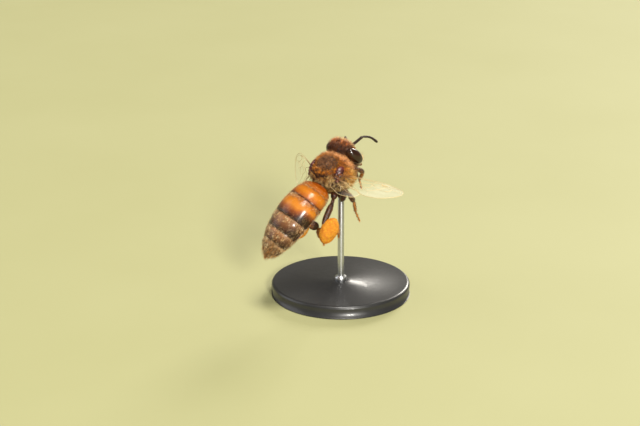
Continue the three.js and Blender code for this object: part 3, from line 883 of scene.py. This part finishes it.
def make_head():
    """The skin, the eyes and ocelli, the mouth and the coat."""
    skin = moved(head_rings(), HEAD)
    build("head_skin", [skin], skin_finish("head_skin", head_marking, 0.06), "coat", ["head"])
    lens = eye_finish()
    for name, side in SIDES.items():
        build(f"eye_{name}_lens", [moved(eye_rings(side), HEAD)], lens, "eye", [f"eye_{name}"])
    ocelli = [ball(place, (0.13, 0.13, 0.11)) for place in
              ((0.2, 0.2, 1.36), (-0.2, 0.2, 1.36), (0.0, 0.42, 1.22))]
    build("ocelli", moved_all(ocelli, HEAD), lens, "eye")
    make_mouth()
    coat = hair_finish("head_hair", head_marking)
    roots = Roots(skin, count=15000, seed=21, density=head_density)
    strands("head_coat", roots, coat, head_length(roots.places), 0.0105, 0.46, jitter=0.3, curl=0.4,
            clump=0.5, tuft=14, scatter=0.42, lie=head_lie(roots.places), seed=21)
    cheeks = Roots(skin, count=1400, seed=22, density=cheek_density)
    strands("cheek_fringe", cheeks, coat, 0.52, 0.01, 0.5, jitter=0.25, curl=0.3, clump=0.5,
            tuft=10, scatter=0.4, lie=(0, 0.9, 0.3), seed=22)


def make_mouth():
    """The jaws, and the tongue folded back between its sheaths."""
    jaw = cuticle_finish("jaws", "8c4618", "3e1c0c", roughness=0.3, relief=0.004)
    tongue = cuticle_finish("tongue", "a86028", "603216", roughness=0.35, relief=0.004)
    for name, side in SIDES.items():
        path = curve([(side * 0.5, 0.1, -1.5), (side * 0.4, 0.18, -1.95), (side * 0.13, 0.1, -2.38)], 20)
        radii = through(np.linspace(0, 1, 20), [(0, 0.17), (0.4, 0.13), (0.75, 0.17), (1, 0.05)])
        blade = tube(path, radii, wide=(1, 0, 0.3), flat=0.55)
        build(f"jaw_{name}", [moved(blade, HEAD)], jaw, "cuticle", [f"mandible_{name}"])
    parts = []
    for side in SIDES.values():
        path = curve([(side * 0.14, 0.0, -1.6), (side * 0.15, -0.22, -2.1), (side * 0.11, -0.5, -2.06),
                      (side * 0.06, -0.76, -1.75)], 24)
        parts.append(tube(path, np.linspace(0.15, 0.07, 24), wide=(1, 0, 0), flat=0.6))
    path = curve([(0, 0.02, -1.6), (0, -0.26, -2.2), (0, -0.52, -2.16), (0, -0.86, -1.68)], 30)
    parts.append(tube(path, np.linspace(0.09, 0.045, 30)))
    build("tongue", moved_all(parts, HEAD), tongue, "cuticle", ["proboscis"])


def make_antenna(name, joints):
    """A long first joint and a whip of short ones."""
    socket, elbow, bend, tip = [np.array(joint, float) for joint in joints]
    finish = cuticle_finish(f"feeler_{name}", "36221a", "1a100e", pits=40.0, roughness=0.5,
                            gloss=0.05, relief=0.005)
    root = socket + unit(socket - elbow) * 0.18
    scape = bar(root, elbow, [(0, 0.1), (0.2, 0.13), (0.8, 0.12), (1, 0.14)], rings=26)
    ring = ball(root, (0.15, 0.15, 0.15))
    build(f"feeler_base_{name}", [scape, ring], finish, "cuticle", [f"antenna_scape_{name}"])
    shares = np.linspace(0, 1, WHIP_JOINTS * 10 + 1)
    path = curve([elbow, bend, tip], len(shares))
    joint_swell = 0.8 + 0.2 * np.abs(np.sin(math.pi * WHIP_JOINTS * shares)) ** 0.35
    radii = joint_swell * through(shares, [(0, 0.075), (0.09, 0.11), (0.13, 0.1), (0.9, 0.125), (1, 0.05)])
    build(f"feeler_{name}", [tube(path, radii)], finish, "cuticle", [f"antenna_flagellum_{name}"])


# ---- abdomen ----

def abdomen_share(y):
    """Section of the abdomen: it swells at once behind the waist and tapers to the sting."""
    along = np.clip(-y / ABDOMEN["length"], 0, 1)
    to_widest = np.clip(along / ABDOMEN["widest"], 0.02, 1)
    to_tip = np.clip((along - ABDOMEN["widest"]) / (1 - ABDOMEN["widest"]), 0, 1)
    return np.where(along < ABDOMEN["widest"],
                    (1 - (1 - to_widest) ** 2) ** ABDOMEN["front_power"],
                    (1 - to_tip ** 2) ** ABDOMEN["rear_power"])


def abdomen_rise(y):
    """Height of the abdomen's centre line."""
    along = np.clip(-y / ABDOMEN["length"], 0, 1)
    return ABDOMEN["centre"] + ABDOMEN["arch"] * np.sin(math.pi * along ** 0.8)


def abdomen_points(y, angles, depth):
    """Rows over the angles of points along y, at a depth inside the abdomen's outline."""
    share = abdomen_share(y)
    width = np.maximum(ABDOMEN["half_width"] * share - depth, 0.02)
    height = np.maximum(ABDOMEN["half_height"] * share - depth, 0.02)
    x = np.sin(angles)[:, None] * width
    z = np.cos(angles)[:, None] * height + abdomen_rise(y)
    return np.stack([x, np.broadcast_to(y, x.shape), z], axis=-1)


def plate(front, rear, angles, inset):
    """A thin closed plate: each row runs back along its outside, round its edge and on inside."""
    share = np.linspace(0, 1, 30) ** 0.9
    y = front + (rear - front) * share
    lip = 0.03 * eased(share, 0.965, 1.0)
    swell = -0.02 * np.sin(math.pi * share)
    depth = inset + PLATE_STEP * (1 - eased(share, 0.05, 0.5)) + lip + swell
    outer = abdomen_points(y, angles, depth)
    inner = abdomen_points(y[::-1], angles, depth[::-1] + PLATE_THICKNESS)
    return np.concatenate([outer, inner], axis=1)


def make_abdomen():
    """A back and a belly plate on each segment, and the short coat over them."""
    shell, belly = shell_finish(), belly_finish()
    back_angles = np.linspace(-PLATE_EDGE, PLATE_EDGE, 84)
    belly_angles = np.linspace(PLATE_EDGE - 0.16, 2 * math.pi - PLATE_EDGE + 0.16, 56)
    for number in range(6):
        front, rear = SEGMENT_CUTS[number], SEGMENT_CUTS[number + 1]
        tip = number == 5
        start = front + (0.3 if number else -0.02)
        end = rear + (SHELL_INSET if tip else 0)
        node = f"abdomen_segment_{number + 1}"
        back = plate(start, end, back_angles, SHELL_INSET)
        under = plate(start, end + (0.04 if tip else 0.06), belly_angles, SHELL_INSET + 0.09)
        build(f"back_plate_{number + 1}", [back], shell, "shell", [node], ON_ABDOMEN)
        build(f"belly_plate_{number + 1}", [under], belly, "shell", [node], ON_ABDOMEN)
    make_abdomen_coat()


def abdomen_rings(depth):
    """Rings at a depth inside the abdomen's outline."""
    y = np.linspace(-0.3, SEGMENT_CUTS[-1], 90)
    return np.swapaxes(abdomen_points(y, round_angles(72), depth), 0, 1)


def felt_density(places):
    """Short hair: a band behind each front edge of the rear plates, and all over the last one."""
    y = places[..., 1]
    bands = 0
    for cut, share in zip(SEGMENT_CUTS[2:6], (0.12, 0.75, 1.0, 1.0)):
        behind = cut - y
        bands = bands + share * eased(behind, 0.0, 0.12) * (1 - 0.9 * eased(behind, 0.25, 0.85))
    return 0.13 + 0.2 * eased(y, -4.0, -3.0) + bands


def felt_length(places):
    """Short, and shortest in front and at the tip."""
    y = places[:, 1]
    return 0.15 + 0.09 * eased(-y, 3.6, 4.2) - 0.12 * eased(-y, 6.8, 7.6)


def fringe_density(places):
    """Longer hair: on the first plate, low on the sides and round the tip."""
    y, z = places[..., 1], places[..., 2]
    below = eased(-(z - abdomen_rise(y)), 0.1, 0.9)
    return 0.07 + eased(y, -0.9, -0.3) * 0.9 + 0.3 * below + 0.5 * eased(-y, 6.4, 7.2)


def make_abdomen_coat():
    """Short felt in bands, and a longer fringe in front, below and at the tip."""
    skin = abdomen_rings(SHELL_INSET + 0.03)
    tan = felt_finish("abdomen_felt", "ffeabe", "e8ba7e", True)
    gold = felt_finish("abdomen_fringe", "f8d69c", "ecac60", True)
    felt = Roots(skin, count=19500, seed=31, density=felt_density)
    strands("abdomen_felt", felt, tan, felt_length(felt.places), 0.0095, 0.2, jitter=0.3, curl=0.15,
            clump=0.4, tuft=16, scatter=0.6, seed=31, frame_matrix=ON_ABDOMEN)
    fringe = Roots(skin, count=4500, seed=32, density=fringe_density)
    strands("abdomen_fringe", fringe, gold, 0.34, 0.009, 0.32, jitter=0.25, curl=0.3,
            clump=0.2, tuft=6, seed=32, frame_matrix=ON_ABDOMEN)


# ---- legs ----

LEG_FORMS = {  # radii of the femur, tibia and first foot joint; the shares are depth over width
    "front": {"femur": 0.25, "tibia": 0.22, "foot": 0.17, "tibia_flat": 0.8, "foot_flat": 0.8},
    "middle": {"femur": 0.26, "tibia": 0.25, "foot": 0.19, "tibia_flat": 0.75, "foot_flat": 0.6},
    "hind": {"femur": 0.27, "tibia": 0.4, "foot": 0.34, "tibia_flat": 0.45, "foot_flat": 0.4},
}
LEG_PROFILES = {  # along each joint: share of its length, and radius as a share of its own
    "coxa": ((0, 1), (0.6, 1.1), (1, 0.7)),
    "femur": ((0, 0.6), (0.3, 1), (0.6, 0.95), (1, 0.6)),
    "tibia": ((0, 0.5), (0.15, 0.62), (0.75, 1), (1, 0.85)),
    "foot": ((0, 0.6), (0.25, 1), (0.8, 0.95), (1, 0.7)),
    "foot_joint": ((0, 0.45), (0.75, 0.85), (1, 0.7)),
}
LINK_RADII = ((0, 0.15), (1, 0.17))   # of the short link between hip and thigh, in millimetres
FOOT_STEPS = (0, 0.2, 0.38, 0.54, 0.88)   # where the small foot joints meet, from heel to claws
FOOT_JOINT_RADIUS = 0.13
LEG_STRANDS = (380, 380, 300, 40, 40, 40, 40)   # on the thigh, the shin and the five foot joints


def foot_joints(heel, claws, wide):
    """Four small joints, each wider at its far end."""
    grids = []
    for start, end in zip(FOOT_STEPS[:-1], FOOT_STEPS[1:]):
        near = heel + (claws - heel) * (start - 0.02)
        far = heel + (claws - heel) * end
        grids.append(bar(near, far, LEG_PROFILES["foot_joint"], FOOT_JOINT_RADIUS, rings=12,
                         sides=12, wide=wide, flat=0.75))
    return grids


def claw_parts(claws, way, wide):
    """Two hooked claws and the pad between them."""
    down = unit(np.cross(wide, way))
    root = claws - way * 0.16
    grids = [ball(root + way * 0.08, (0.07, 0.07, 0.07), 10, 12)]
    for side in (-1, 1):
        path = curve([root, root + way * 0.1 + wide * side * 0.1,
                      root + way * 0.16 + wide * side * 0.14 + down * 0.06], 10)
        grids.append(tube(path, np.linspace(0.035, 0.008, 10), sides=8))
    return grids


def upper_leg(hip, trochanter, knee, radius):
    """The hip's joint, the short link and the thigh."""
    inward = hip + unit(hip - trochanter) * 0.25
    coxa_end = hip * 0.3 + trochanter * 0.7
    link_start, link_end = hip * 0.4 + trochanter * 0.6, trochanter * 0.95 + knee * 0.05
    return [bar(inward, coxa_end, LEG_PROFILES["coxa"], radius),
            bar(link_start, link_end, LINK_RADII),
            bar(trochanter, knee, LEG_PROFILES["femur"], radius, rings=26)]


def make_leg(name, joints, finishes):
    """Three pieces, from the body to the knee, to the ankle and to the claws, and their hair."""
    pair = name.split("_")[0]
    form = LEG_FORMS[pair]
    hip, trochanter, knee, ankle, heel, claws = [np.array(joint, float) for joint in joints]
    wide = unit(np.cross(knee - ankle, trochanter - knee))
    if pair == "hind":
        wide = unit(np.cross(ankle - knee, wide))
    way = unit(claws - heel)
    square = unit(wide - way * (wide @ way))
    thigh = upper_leg(hip, trochanter, knee, form["femur"])
    shin = [bar(knee, ankle, LEG_PROFILES["tibia"], form["tibia"], rings=26, wide=wide,
                flat=form["tibia_flat"])]
    foot = [bar(ankle, heel, LEG_PROFILES["foot"], form["foot"], rings=22, wide=wide,
                flat=form["foot_flat"])] + foot_joints(heel, claws, square)
    pieces = (("femur", "femur", thigh), ("tibia", "tibia", shin),
              ("foot", "tarsus", foot + claw_parts(claws, way, square)))
    for piece, node, grids in pieces:
        build(f"{name}_{piece}", grids, finishes[piece], "cuticle", [f"leg_{name}_{node}"])
    roots = all_roots(thigh[-1:] + shin + foot, LEG_STRANDS, 40 + len(name))
    strands(f"{name}_hair", roots, finishes["hair"], 0.16, 0.0075, 0.34, jitter=0.2, curl=0.1,
            clump=0.1, tuft=4, seed=len(name))


def make_legs():
    """All six legs, brown above and tawny at the feet."""
    finishes = {
        "femur": cuticle_finish("leg_femur", "4e2610", "241008"),
        "tibia": cuticle_finish("leg_tibia", "5c321a", "2c160c"),
        "foot": cuticle_finish("leg_foot", "ce8636", "985a24"),
        "hair": felt_finish("leg_hair", "be8c50", "6e4222"),
    }
    for name, joints in LEG_JOINTS.items():
        make_leg(name, joints, finishes)


# ---- pollen ----

GRAIN_RADIUS = 0.045
GRAINS = 1500


def icosahedron():
    """Corners and triangles of a small round grain of radius 1."""
    golden = (1 + math.sqrt(5)) / 2
    signs = [(a, b) for a in (-1, 1) for b in (-1, 1)]
    corners = [np.roll((0, a, b * golden), turn) for turn in (2, 0, 1) for a, b in signs]
    hull = bmesh.new()
    for corner in corners:
        hull.verts.new(corner)
    bmesh.ops.convex_hull(hull, input=hull.verts)
    hull.verts.index_update()
    places = unit(np.array([vertex.co for vertex in hull.verts]))
    triangles = np.array([[vertex.index for vertex in face.verts] for face in hull.faces])
    hull.free()
    return places, triangles


def make_pollen(name, centre, lean, finish):
    """A lumpy packed ball with single grains standing out of it."""
    turn = Vector((0, -1, 0)).rotation_difference(Vector(lean)).to_matrix().to_4x4()
    lump = ball((0, 0, 0), np.array(POLLEN_HALF_SIZES) - 0.06, 44, 56)
    offsets = np.array([[noise.fractal(Vector(point) * 1.7 + Vector(centre), 1.0, 2.0, 4)
                         for point in row] for row in lump])
    lump = lump * (1 + 0.05 * offsets[..., None])
    lump = moved(lump, Matrix.Translation(centre) @ turn)
    build(f"pollen_ball_{name}", [lump], finish, "pollen", [f"pollen_{name}"])
    rng = np.random.default_rng(52)
    corners, triangles = icosahedron()
    sizes = GRAIN_RADIUS * rng.uniform(0.7, 1.25, (GRAINS, 1, 1))
    places = (Roots(lump, GRAINS, 51).places[:, None] + corners[None] * sizes).reshape(-1, 3)
    faces = (np.arange(GRAINS)[:, None, None] * len(corners) + triangles[None]).reshape(-1, 3)
    build_shape(f"pollen_grains_{name}", (places, faces.tolist()), finish, "pollen")


# ---- wings ----

FORE_EDGE = [((0, 0), (2.5, -0.35), (6.2, -0.5), (8.0, 0.25)),
             ((8.0, 0.25), (9.3, 0.8), (9.7, 1.9), (8.7, 2.7))]
FORE_REAR = [((0, 0.5), (2.0, 1.4), (3.9, 2.05), (5.6, 2.75)),
             ((5.6, 2.75), (6.6, 3.2), (8.0, 3.25), (8.7, 2.7))]
HIND_EDGE = [((0, 0.56), (2.0, 1.46), (3.9, 2.11), (5.6, 2.81)),
             ((5.6, 2.81), (6.4, 3.2), (6.6, 3.7), (5.8, 4.05))]
HIND_REAR = [((0, 1.2), (2.2, 3.3), (4.6, 4.4), (5.8, 4.05))]
FORE_VEINS = [  # points from the root outwards, and the vein's radius
    ([(-0.2, 0.1), (1.5, -0.06), (3.6, -0.12), (5.4, -0.06), (6.2, 0.04)], 0.05),
    ([(5.3, -0.02), (5.75, 0.05), (6.3, 0.08)], 0.085),
    ([(6.2, 0.06), (7.3, 0.2), (8.3, 0.62), (8.75, 1.0)], 0.032),
    ([(5.55, 0.05), (5.85, 0.45), (6.9, 0.68), (8.0, 0.82), (8.75, 1.0)], 0.03),
    ([(-0.2, 0.22), (1.2, 0.36), (2.6, 0.58), (3.5, 0.84)], 0.045),
    ([(3.5, 0.84), (3.95, 0.55), (4.35, 0.2), (4.6, -0.08)], 0.032),
    ([(4.28, 0.3), (4.8, 0.55), (5.3, 0.8), (5.9, 1.02), (6.9, 1.3), (7.7, 1.42)], 0.028),
    ([(5.8, 0.42), (5.5, 0.62), (5.3, 0.8)], 0.026),
    ([(6.5, 0.6), (6.25, 0.85), (6.1, 1.08)], 0.026),
    ([(7.4, 0.74), (7.35, 1.05), (7.05, 1.32)], 0.026),
    ([(3.5, 0.84), (4.1, 1.25), (4.9, 1.65), (5.6, 1.9)], 0.032),
    ([(5.0, 0.68), (4.95, 1.2), (4.75, 1.58)], 0.026),
    ([(6.3, 1.12), (6.25, 1.6), (5.7, 1.92)], 0.026),
    ([(5.6, 1.9), (6.2, 2.3), (6.5, 2.75)], 0.022),
    ([(-0.1, 0.4), (1.4, 1.0), (2.9, 1.5), (4.2, 1.9), (5.0, 2.3)], 0.036),
    ([(2.9, 1.5), (3.1, 1.1), (3.3, 0.8)], 0.026),
]
HIND_VEINS = [
    ([(-0.1, 0.66), (1.5, 1.3), (3.2, 1.98), (4.9, 2.62), (5.7, 2.92)], 0.036),
    ([(-0.1, 0.8), (1.5, 1.66), (2.9, 2.4), (4.2, 3.0), (5.2, 3.3)], 0.03),
    ([(2.9, 2.4), (3.2, 2.3), (3.5, 2.14)], 0.024),
    ([(2.9, 2.4), (3.4, 2.9), (4.1, 3.5)], 0.024),
    ([(0.0, 0.95), (1.2, 1.8), (2.4, 2.7)], 0.024),
    ([(1.5, 1.66), (1.9, 1.95), (2.3, 2.5)], 0.022),
]


def wing_frame(side, pose):
    """The wing's frame: x out along it, y to its rear edge and z up from it."""
    turn = Matrix.Rotation(math.radians(pose["sweep"]), 3, "Z")
    turn = turn @ Matrix.Rotation(-math.radians(pose["lift"]), 3, "Y")
    span = turn @ Vector((1, 0, 0))
    rearward = turn @ Vector((0, -1, 0))
    rearward = Matrix.Rotation(-math.radians(pose["twist"]), 3, span) @ rearward
    upward = span.cross(rearward)
    frame_matrix = Matrix((span, rearward, upward)).transposed().to_4x4()
    frame_matrix.translation = WING_HINGE
    return Matrix.Diagonal((side, 1, 1, 1)) @ frame_matrix


def pleats(points):
    """Height of the wing's shallow folds and its camber."""
    x, y = points[..., 0], points[..., 1]
    folds = 0.05 * np.sin(2 * math.pi * y / 0.95 + 0.12 * x) * eased(x, 0.2, 2.0) * eased(-x, -9.5, -6.5)
    return folds + 0.05 * np.sin(math.pi * np.clip(x / 9, 0, 1))


def edge_points(parts, count):
    """Points evenly along Bezier parts laid end to end."""
    drawn = []
    for a, b, c, d in np.array(parts, float):
        t = np.linspace(0, 1, 60)[:, None]
        drawn.append((1 - t) ** 3 * a + 3 * (1 - t) ** 2 * t * b + 3 * (1 - t) * t * t * c + t ** 3 * d)
    return spaced(np.vstack(drawn), count)


def folded(flat):
    """Points of the flat wing, raised onto its folds."""
    return np.concatenate([flat, pleats(flat)[..., None]], axis=-1)


def membrane(edge, rear):
    """Rows from the front edge to the rear one, following the wing's folds."""
    front, back = edge_points(edge, EDGE_COUNT), edge_points(rear, EDGE_COUNT)
    share = np.linspace(0, 1, 26)[:, None, None]
    return folded(front[None] * (1 - share) + back[None] * share)


def vein(points, radius):
    """A tapering tube along the wing's folds."""
    flat = np.column_stack([points, np.zeros(len(points))])
    path = folded(curve(flat, 8 * len(points))[:, :2])
    return tube(path, 0.55 * radius * np.linspace(1, 0.6, len(path)), sides=8)


def rim(edge, rear):
    """The thin thickened margin round a wing."""
    outline = np.vstack([edge_points(edge, EDGE_COUNT), edge_points(rear, EDGE_COUNT)[::-1]])
    return tube(folded(outline), WING_RIM, sides=6)


def make_wings():
    """A membrane, and its veins with the margin, for each of the four wings."""
    clear, veins = wing_finish(), vein_finish()
    parts = (("fore", FORE_EDGE, FORE_REAR, FORE_VEINS), ("hind", HIND_EDGE, HIND_REAR, HIND_VEINS))
    for name, side in SIDES.items():
        place = wing_frame(side, WING_POSES[name])
        for pair, edge, rear, lines in parts:
            sheet = moved(membrane(edge, rear), place)
            build(f"{pair}_membrane_{name}", [sheet], clear, "wing", [f"{pair}_wing_{name}"], closed=False)
            tubes = [vein(*line) for line in lines] + [rim(edge, rear)]
            build(f"{pair}_veins_{name}", moved_all(tubes, place), veins, "cuticle")


# ---- stand ----

def turned(profile, sides=128):
    """Rings of a lathe shape from (radius, height) points."""
    angles = round_angles(sides)
    radii, heights = np.array(profile, float).T
    return np.stack([radii[:, None] * np.cos(angles), radii[:, None] * np.sin(angles),
                     heights[:, None] * np.ones(sides)], axis=-1)


def rounded_corner(radius, height, size, rising):
    """A quarter round between a flat face and the rim, in lathe points."""
    turns = np.linspace(0, math.pi / 2, 8)
    corner = [(radius - size + size * math.sin(a), height - size + size * math.cos(a)) for a in turns]
    return corner if not rising else [(r, 2 * height - h) for r, h in reversed(corner)]


def make_stand():
    """A round base with a rounded rim, and a rod with a collar that ends in the chest."""
    radius, top, edge = STAND["radius"], STAND["thickness"], STAND["edge"]
    base = [(0.02, 0.0), (radius - 0.1, 0.0)] + rounded_corner(radius, 0.0, 0.1, True)
    base += rounded_corner(radius, top, edge, False)[::-1]
    base += [(1.05, top), (1.0, top + 0.04), (0.5, top + 0.06), (0.02, top + 0.06)]
    build("base", [turned(base)], base_finish(), "stand_base", ["stand_base"], FLOOR)
    rod_radius = STAND["rod_radius"] * 0.95
    chest = THORAX_HEIGHT + ROD_TOP["y"] * math.sin(FLIGHT_PITCH) + ROD_TOP["z"] * math.cos(FLIGHT_PITCH)
    chest += THORAX_COAT
    rod = [(0.02, top - 0.2), (rod_radius * 1.9, top - 0.2), (rod_radius * 1.9, top + 0.3),
           (rod_radius * 1.7, top + 0.42), (rod_radius * 1.02, top + 0.46), (rod_radius, top + 0.5),
           (rod_radius, chest - 0.1), (rod_radius * 0.8, chest), (0.02, chest)]
    build("rod", [turned(rod, 48)], rod_finish(), "stand_rod", ["stand_rod"], FLOOR)


# ---- stage, lights and camera ----

VIEW = {"azimuth": math.radians(43), "elevation": math.radians(20), "distance": 155.0, "lens": 100.0}
AIM = {"left": 1.0, "down": 3.35}   # the view's centre from the thorax
LIGHTS = {  # the way to it from the thorax, its distance and width in metres, watts and colour
    "key": ((0.78, -0.48, 0.4), 1.05, 0.165, 13.5, (1.0, 0.97, 0.9)),
    "top": ((0.3, -0.15, 1.0), 1.05, 0.36, 10.5, (1.0, 0.96, 0.88)),
    "rim": ((-0.3, 1.0, 0.5), 1.2, 0.4, 10.0, (1.0, 0.95, 0.86)),
    "fill": ((-0.8, -0.6, 0.5), 1.2, 0.9, 3.5, (0.95, 0.96, 1.0)),
}
SKY = {"Color": (0.96, 0.9, 0.74, 1), "Strength": 0.27}


def make_stage():
    """A wide pale floor."""
    finish = Finish("pale_floor", roughness=0.7)
    mesh = bpy.data.meshes.new("floor")
    mesh.from_pydata([(x, y, 0) for x, y in ((-2, -2), (2, -2), (2, 2), (-2, 2))], [], [(0, 1, 2, 3)])
    mesh.materials.append(finish.done(finish.mottle(0.05, "9a996c", "a09f74")))
    added("floor", mesh)


def make_lights():
    """Square soft lights that look at the thorax, and an even warm sky."""
    for name, (way, distance, size, power, colour) in LIGHTS.items():
        data = bpy.data.lights.new(name, "AREA")
        data.size, data.energy, data.color = size, power, colour
        light = added(name, data)
        direction = Vector(way).normalized()
        light.location = Vector(THORAX_PLACE) + direction * distance
        light.rotation_euler = direction.to_track_quat("Z", "Y").to_euler()
    world = bpy.data.worlds.new("studio")
    world.use_nodes = True
    for socket, value in SKY.items():
        world.node_tree.nodes["Background"].inputs[socket].default_value = value
    bpy.context.scene.world = world
    bpy.context.scene.view_settings.view_transform = "Standard"


def make_camera():
    """The camera stands off to the right of the bee's tail and a little above it."""
    azimuth, elevation = VIEW["azimuth"], VIEW["elevation"]
    back = Vector((math.sin(azimuth) * math.cos(elevation), -math.cos(azimuth) * math.cos(elevation),
                   math.sin(elevation)))
    right = Vector((math.cos(azimuth), math.sin(azimuth), 0))
    up = back.cross(right)
    aim = Vector(THORAX_PLACE) - (right * AIM["left"] + up * AIM["down"]) * MM
    data = bpy.data.cameras.new("camera")
    data.lens, data.sensor_width = VIEW["lens"], 36.0
    data.clip_start, data.clip_end = 5 * MM, 10.0
    camera = added("camera", data)
    camera.location = aim + back * VIEW["distance"] * MM
    camera.rotation_euler = back.to_track_quat("Z", "Y").to_euler()
    bpy.context.scene.camera = camera


# ---- the whole model ----

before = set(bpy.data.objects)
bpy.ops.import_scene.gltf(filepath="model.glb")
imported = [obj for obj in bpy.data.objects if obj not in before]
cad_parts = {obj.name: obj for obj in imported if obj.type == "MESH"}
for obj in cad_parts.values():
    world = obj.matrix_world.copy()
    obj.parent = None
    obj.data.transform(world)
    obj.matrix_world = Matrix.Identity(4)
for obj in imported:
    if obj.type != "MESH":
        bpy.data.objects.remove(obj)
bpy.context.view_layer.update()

make_camera()
make_stage()
make_lights()
make_thorax()
make_head()
for antenna, joints in ANTENNAE.items():
    make_antenna(antenna, joints)
make_abdomen()
make_legs()
pollen = pollen_finish()
for load, (centre, lean) in POLLEN_PLACES.items():
    make_pollen(load, centre, lean, pollen)
make_wings()
make_stand()
